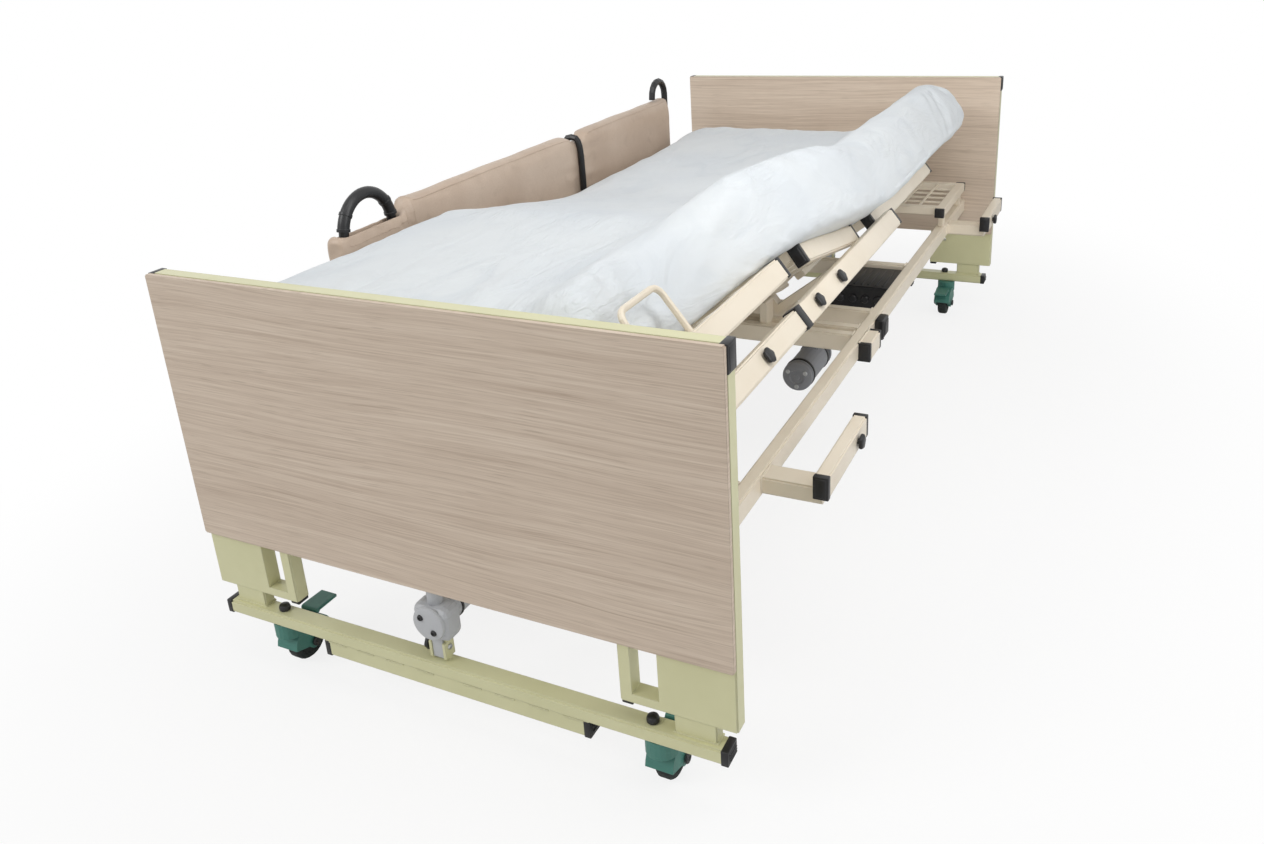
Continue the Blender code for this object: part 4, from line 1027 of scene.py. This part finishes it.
def mattress_pieces():
    """The slab cut at the hip, the knee and the middle, with tongues inside that fill the opening folds."""
    mesh = settled(mattress_skin(), voxel(0.013))
    mesh = puffed(mesh, 4.0, 0.025, 0.009, lambda v: v.normal.z < -0.35)
    mesh = settled(rumpled(mesh), SUBDIVIDED)
    inner = mesh.copy()
    for v, way in facings(inner):
        v.co -= way * TONGUE_IN
    lean = Vector((0, cos(KNEE / 2), -sin(KNEE / 2)))
    slope = Vector((-sin(SLOPE), 0, cos(SLOPE)))
    hip = Vector((0, HIP_Y, HINGE_Z))
    knee = section_place("calf").to_translation()
    spans = {
        "back": [(hip, -lean)], "thigh": [(hip, lean), (knee, -lean)], "calf": [(knee, lean)],
    }
    folds = {"back": hip, "thigh": knee}
    for side, hand in SIDES:
        middle = (Vector((0, 0, 0)), Vector((-side, 0, 0)))
        for section, cuts in spans.items():
            bm = kept_side(mesh, [middle, *cuts])
            if section in folds:
                fold, clear = folds[section], TONGUE_UP[section]
                trims = [
                    middle, (fold - lean * TONGUE_BEHIND, -lean), (fold + lean * TONGUE_AHEAD, lean),
                    (fold + Vector((0, 0, clear)), Vector((0, 0, -1))),
                ]
                if side > 0:
                    trims.append((fold + Vector((HINGE_X, 0, 0)) + slope * clear, -slope))
                bm.from_mesh(to_mesh("tongue", kept_side(inner, trims), turn_out=False))
            obj = piece(f"mattress_{section}_{hand}", bm, "sheet", None, 50.0)
            hinge = section_place(section) @ Vector((side * HINGE_X, 0, 0))
            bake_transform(obj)
            if (section, side) == ("back", 1):
                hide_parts("mattress")


mattress_pieces()

# side guard: two stuffed vinyl rolls drawn in by the ring, and an open pocket at the foot
GUARD_X, GUARD_T, GUARD_BOTTOM, GUARD_TOP = -0.4855, 0.050, 0.4530, 0.7205
GUARD_FROM, POCKET_TO, GUARD_TO, POCKET_DROP = 0.411, 0.620, 1.949, 0.030
RING_AT, CINCH, RING_DRAW, POCKET_DEPTH, POCKET_HALF = 1.360, 0.60, 0.030, 0.140, 0.0145


def guard_sizes(at):
    """Thickness, underside and top of the guard's pad at a distance from the foot end."""
    thick, low = GUARD_T, GUARD_BOTTOM
    high = GUARD_TOP - POCKET_DROP * (1 - smoothstep(at, POCKET_TO - 0.006, POCKET_TO + 0.010))
    thick *= 1 - 0.07 * exp(-(((at - POCKET_TO) / 0.010) ** 2))
    drawn = exp(-(((at - RING_AT) / 0.035) ** 2))
    if abs(at - RING_AT) < 0.012:
        drawn = exp(-((0.012 / 0.035) ** 2))
    thick *= 1 - (1 - CINCH) * drawn
    low, high = low + RING_DRAW * drawn, high - RING_DRAW * drawn
    tip = min((at - GUARD_FROM) / 0.013, (GUARD_TO - at) / 0.018, 1.0)
    full = sqrt(max(0.0, 1 - (1 - tip) ** 2))
    return thick * (0.70 + 0.30 * full), low + 0.009 * (1 - full), high - 0.009 * (1 - full)


def guard_ring_points(at, count=64, grow=0.0):
    thick, low, high = guard_sizes(at)
    half, mid, tall = thick / 2 + grow, (low + high) / 2, (high - low) / 2 + grow
    points = []
    for k in range(count):
        a = 2 * pi * k / count
        c, s = cos(a), sin(a)
        points.append(Vector((
            GUARD_X + copysign(abs(c) ** 0.46, c) * half, along(at),
            mid + copysign(abs(s) ** 0.30, s) * tall,
        )))
    return points


def spread(first, last, count):
    """Even steps from first to last."""
    return [first + (last - first) * k / count for k in range(count + 1)]


def guard_pad():
    cutter_bm = bmesh.new()
    brim = GUARD_TOP - POCKET_DROP
    block(
        cutter_bm, (GUARD_X - POCKET_HALF, along(GUARD_FROM + 0.018), brim - POCKET_DEPTH),
        (GUARD_X + POCKET_HALF, along(POCKET_TO - 0.012), brim + 0.05), 0.006,
    )
    cutter = linked("pocket", to_mesh("pocket", cutter_bm))
    mesh = settled(
        skin([guard_ring_points(at) for at in spread(GUARD_FROM, GUARD_TO, 190)]),
        ("BOOLEAN", {"operation": "DIFFERENCE", "solver": "EXACT", "object": cutter}), voxel(0.007),
    )
    bpy.data.objects.remove(cutter, do_unlink=True)

    def held(v):
        at = v.co.y + HALF_L
        inside = GUARD_FROM + 0.010 < at < POCKET_TO and abs(v.co.x - GUARD_X) < POCKET_HALF + 0.003
        return abs(at - RING_AT) < 0.020 or abs(at - POCKET_TO) < 0.006 or inside

    mesh = puffed(mesh, 4.0, 0.02, 0.0035, held)
    for v, way in facings(mesh):
        at = v.co.y + HALF_L
        seam = max(0.0, 1 - abs(at - POCKET_TO - 0.004) / 0.011)
        hem = max(0.0, 1 - abs(v.co.z - GUARD_BOTTOM - 0.040) / 0.010) * smoothstep(at, 0.62, 0.65)
        pucker = noise.noise(Vector((v.co.x * 14, at * 9.0, v.co.z * 14)))
        gather = exp(-(((at - RING_AT) / 0.10) ** 2)) * (abs(at - RING_AT) > 0.02)
        fold = noise.noise(Vector((v.co.x * 20, at * 4.0, v.co.z * 42)))
        v.co += way * (0.0020 * pucker + 0.0052 * gather * fold - 0.0030 * seam ** 2 - 0.0022 * hem ** 2)
    obj = placed("guard_cushion", settled(mesh, SUBDIVIDED), "vinyl", "guard", 60.0)
    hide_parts("guard_pad")
    return obj


guard = guard_pad()
skin_tree = BVHTree.FromObject(guard, bpy.context.evaluated_depsgraph_get())


def on_guard(points, lift=0.0004):
    """Points moved onto the pad's cover."""
    out = []
    for p in points:
        spot, way, _, _ = skin_tree.find_nearest(p)
        out.append(spot + way * lift)
    return out


def guard_side(at, z, face):
    """A point beside the pad, on the left (-1) or the right (1)."""
    return Vector((GUARD_X + face * guard_sizes(at)[0], along(at), z))


def guard_seams():
    """Stitch rows beside the pocket's seam, round its mouth and along the hems."""
    rows = []
    for at in (POCKET_TO - 0.004, POCKET_TO + 0.013):
        ring = guard_ring_points(at, 120, 0.01)
        rows.append(on_guard(ring[92:] + ring[:60] if at > POCKET_TO else ring[92:] + ring[:29]))
        rows.append(on_guard(ring[31:88]))
    mouth = GUARD_TOP - POCKET_DROP - 0.014
    rolls = (POCKET_TO + 0.02, RING_AT - 0.06), (RING_AT + 0.06, GUARD_TO - 0.03)
    for face in (-1, 1):
        span = spread(POCKET_TO - 0.19, POCKET_TO - 0.005, 40)
        rows.append(on_guard([guard_side(at, mouth, face) for at in span]))
        for roll in rolls:
            for z in (GUARD_BOTTOM + 0.034, GUARD_BOTTOM + 0.046):
                rows.append(on_guard([guard_side(at, z, face) for at in spread(*roll, 120)]))
    stitch = {"Pitch": 0.0052, "Length": 0.0038, "Thickness": 0.0011}
    grown("guard_stitches", STITCH_ROW, rows, stitch, "guard")


def guard_piping():
    """Corded seams along the upper edges of both rolls."""
    bm = bmesh.new()
    for roll in ((POCKET_TO + 0.022, RING_AT - 0.050), (RING_AT + 0.050, GUARD_TO - 0.020)):
        for face in (-1, 1):
            run = []
            for at in spread(*roll, 90):
                thick, _, high = guard_sizes(at)
                run.append(Vector((GUARD_X + face * (thick / 2 + 0.004), along(at), high - 0.003)))
            tube(bm, on_guard(run, 0.0002), 0.0015, 8)
    piece("guard_piping", bm, "vinyl", "guard", 60.0)


guard_seams()
guard_piping()

# grip sleeve on the pocket's hoop, with a bead at each end and one a little further in
HOOP_AT, HOOP_R, HOOP_Z = 0.518, 0.074, 0.681
GRIP_R, BEAD_R = 0.0122, 0.0136


def on_hoop(a):
    return Vector((GUARD_X, along(HOOP_AT) + HOOP_R * cos(a), HOOP_Z + HOOP_R * sin(a)))


grip = bmesh.new()
arc = [radians(168 - 6 * k) for k in range(27)]
tube(grip, [on_hoop(a) for a in arc], GRIP_R, 18)
for a in (arc[0], arc[-1], arc[4], arc[-5]):
    step = Vector((0, -sin(a), cos(a)))
    tube(grip, [on_hoop(a) + step * d for d in (-0.003, -0.002, 0.002, 0.003)], BEAD_R, 18)
piece("guard_hoop_grip", grip, "dark_plastic", "guard", 35.0)

# ---- light, floor and camera
floor_bm = bmesh.new()
bmesh.ops.create_grid(floor_bm, x_segments=1, y_segments=1, size=14.0)
floor = linked("floor", to_mesh("floor", floor_bm, turn_out=False))
floor.location.z = -0.0005
paper = Finish("floor_paper", Roughness=0.95, Specular_IOR_Level=0.0)
paper.feed(Base_Color=paper.mix(paper.noise(0.7, 2), (0.86, 0.86, 0.86, 1.0), (0.88, 0.88, 0.88, 1.0)))
wide = paper.stretched((1.0, 0.62, 1.0))
reach = paper.node("VectorMath", {"operation": "LENGTH"}, {0: wide}, out=1)
far = reach.between(0.75, 1.65)
plain = paper.node("Emission", None, {"Color": (1.0, 1.0, 1.0, 1.0), "Strength": 1.0})
white = paper.node("MixShader", None, {
    0: paper.node("LightPath", out="Is Camera Ray") * (0.82 + far * 0.18),
    1: Val(paper, paper.shader.outputs[0]), 2: plain,
})
paper.put(paper.tree.nodes["Material Output"].inputs["Surface"], white)
floor.data.materials.append(paper.material)
floor.parent = frame["bodies"]["foot_base"]  # the castors stay on the floor when the lift runs

world = bpy.data.worlds.new("studio")
scene.world = world
world.use_nodes = True
sky = Tree(world.node_tree)
seen, shine, clear = (
    sky.node("LightPath", out=f"Is {ray} Ray") for ray in ("Camera", "Glossy", "Transmission")
)
back_light = world.node_tree.nodes["Background"]
back_light.inputs["Color"].default_value = (1.0, 1.0, 1.0, 1.0)
shown = sky.node("Math", {"operation": "ADD", "use_clamp": True}, {0: seen + shine, 1: clear})
AMBIENT = 0.40
sky.put(back_light.inputs["Strength"], AMBIENT + shown * (1.0 - AMBIENT))


def soft_box(name, at, target, size, power):
    lamp = bpy.data.lights.new(name, "AREA")
    lamp.shape, lamp.energy = "RECTANGLE", power
    lamp.size, lamp.size_y = size
    obj = linked(name, lamp)
    obj.location = at
    obj.rotation_mode = "QUATERNION"
    obj.rotation_quaternion = (Vector(target) - Vector(at)).to_track_quat("-Z", "Y")


soft_box("key", (-3.3, -5.0, 4.4), (0, -0.2, 0.4), (3.4, 2.6), 154)
soft_box("fill", (3.6, -1.0, 1.9), (0, 0, 0.4), (2.0, 1.6), 22)
soft_box("top", (0.5, -1.0, 3.1), (0, 1.08, 0.45), (2.4, 1.6), 20)
soft_box("head", (1.3, -0.6, 1.9), (0.2, 1.09, 0.5), (1.2, 0.9), 12)

FOCAL_PX, WIDTH_PX, SHIFT_PX = 1034.3, 1264.0, -100.0
YAW, PITCH, ROLL = (radians(a) for a in (-27.805, -20.605, -3.738))
EYE = (0.9358, -2.1729, 1.2125)
ahead = Vector((sin(YAW) * cos(PITCH), cos(YAW) * cos(PITCH), sin(PITCH)))
right = Vector((cos(YAW), -sin(YAW), 0.0))
up = right.cross(ahead)
c, s = cos(ROLL), sin(ROLL)
lens = bpy.data.cameras.new("camera")
lens.sensor_width = 36.0
lens.lens = FOCAL_PX / WIDTH_PX * lens.sensor_width
lens.shift_x, lens.shift_y = 0.0, SHIFT_PX / WIDTH_PX
turn = Matrix((right * c + up * s, up * c - right * s, -ahead)).transposed()
camera = linked("camera", lens)
camera.matrix_world = Matrix.Translation(EYE) @ turn.to_4x4()
scene.camera = camera
scene.view_settings.view_transform = "Standard"

bpy.context.view_layer.update()
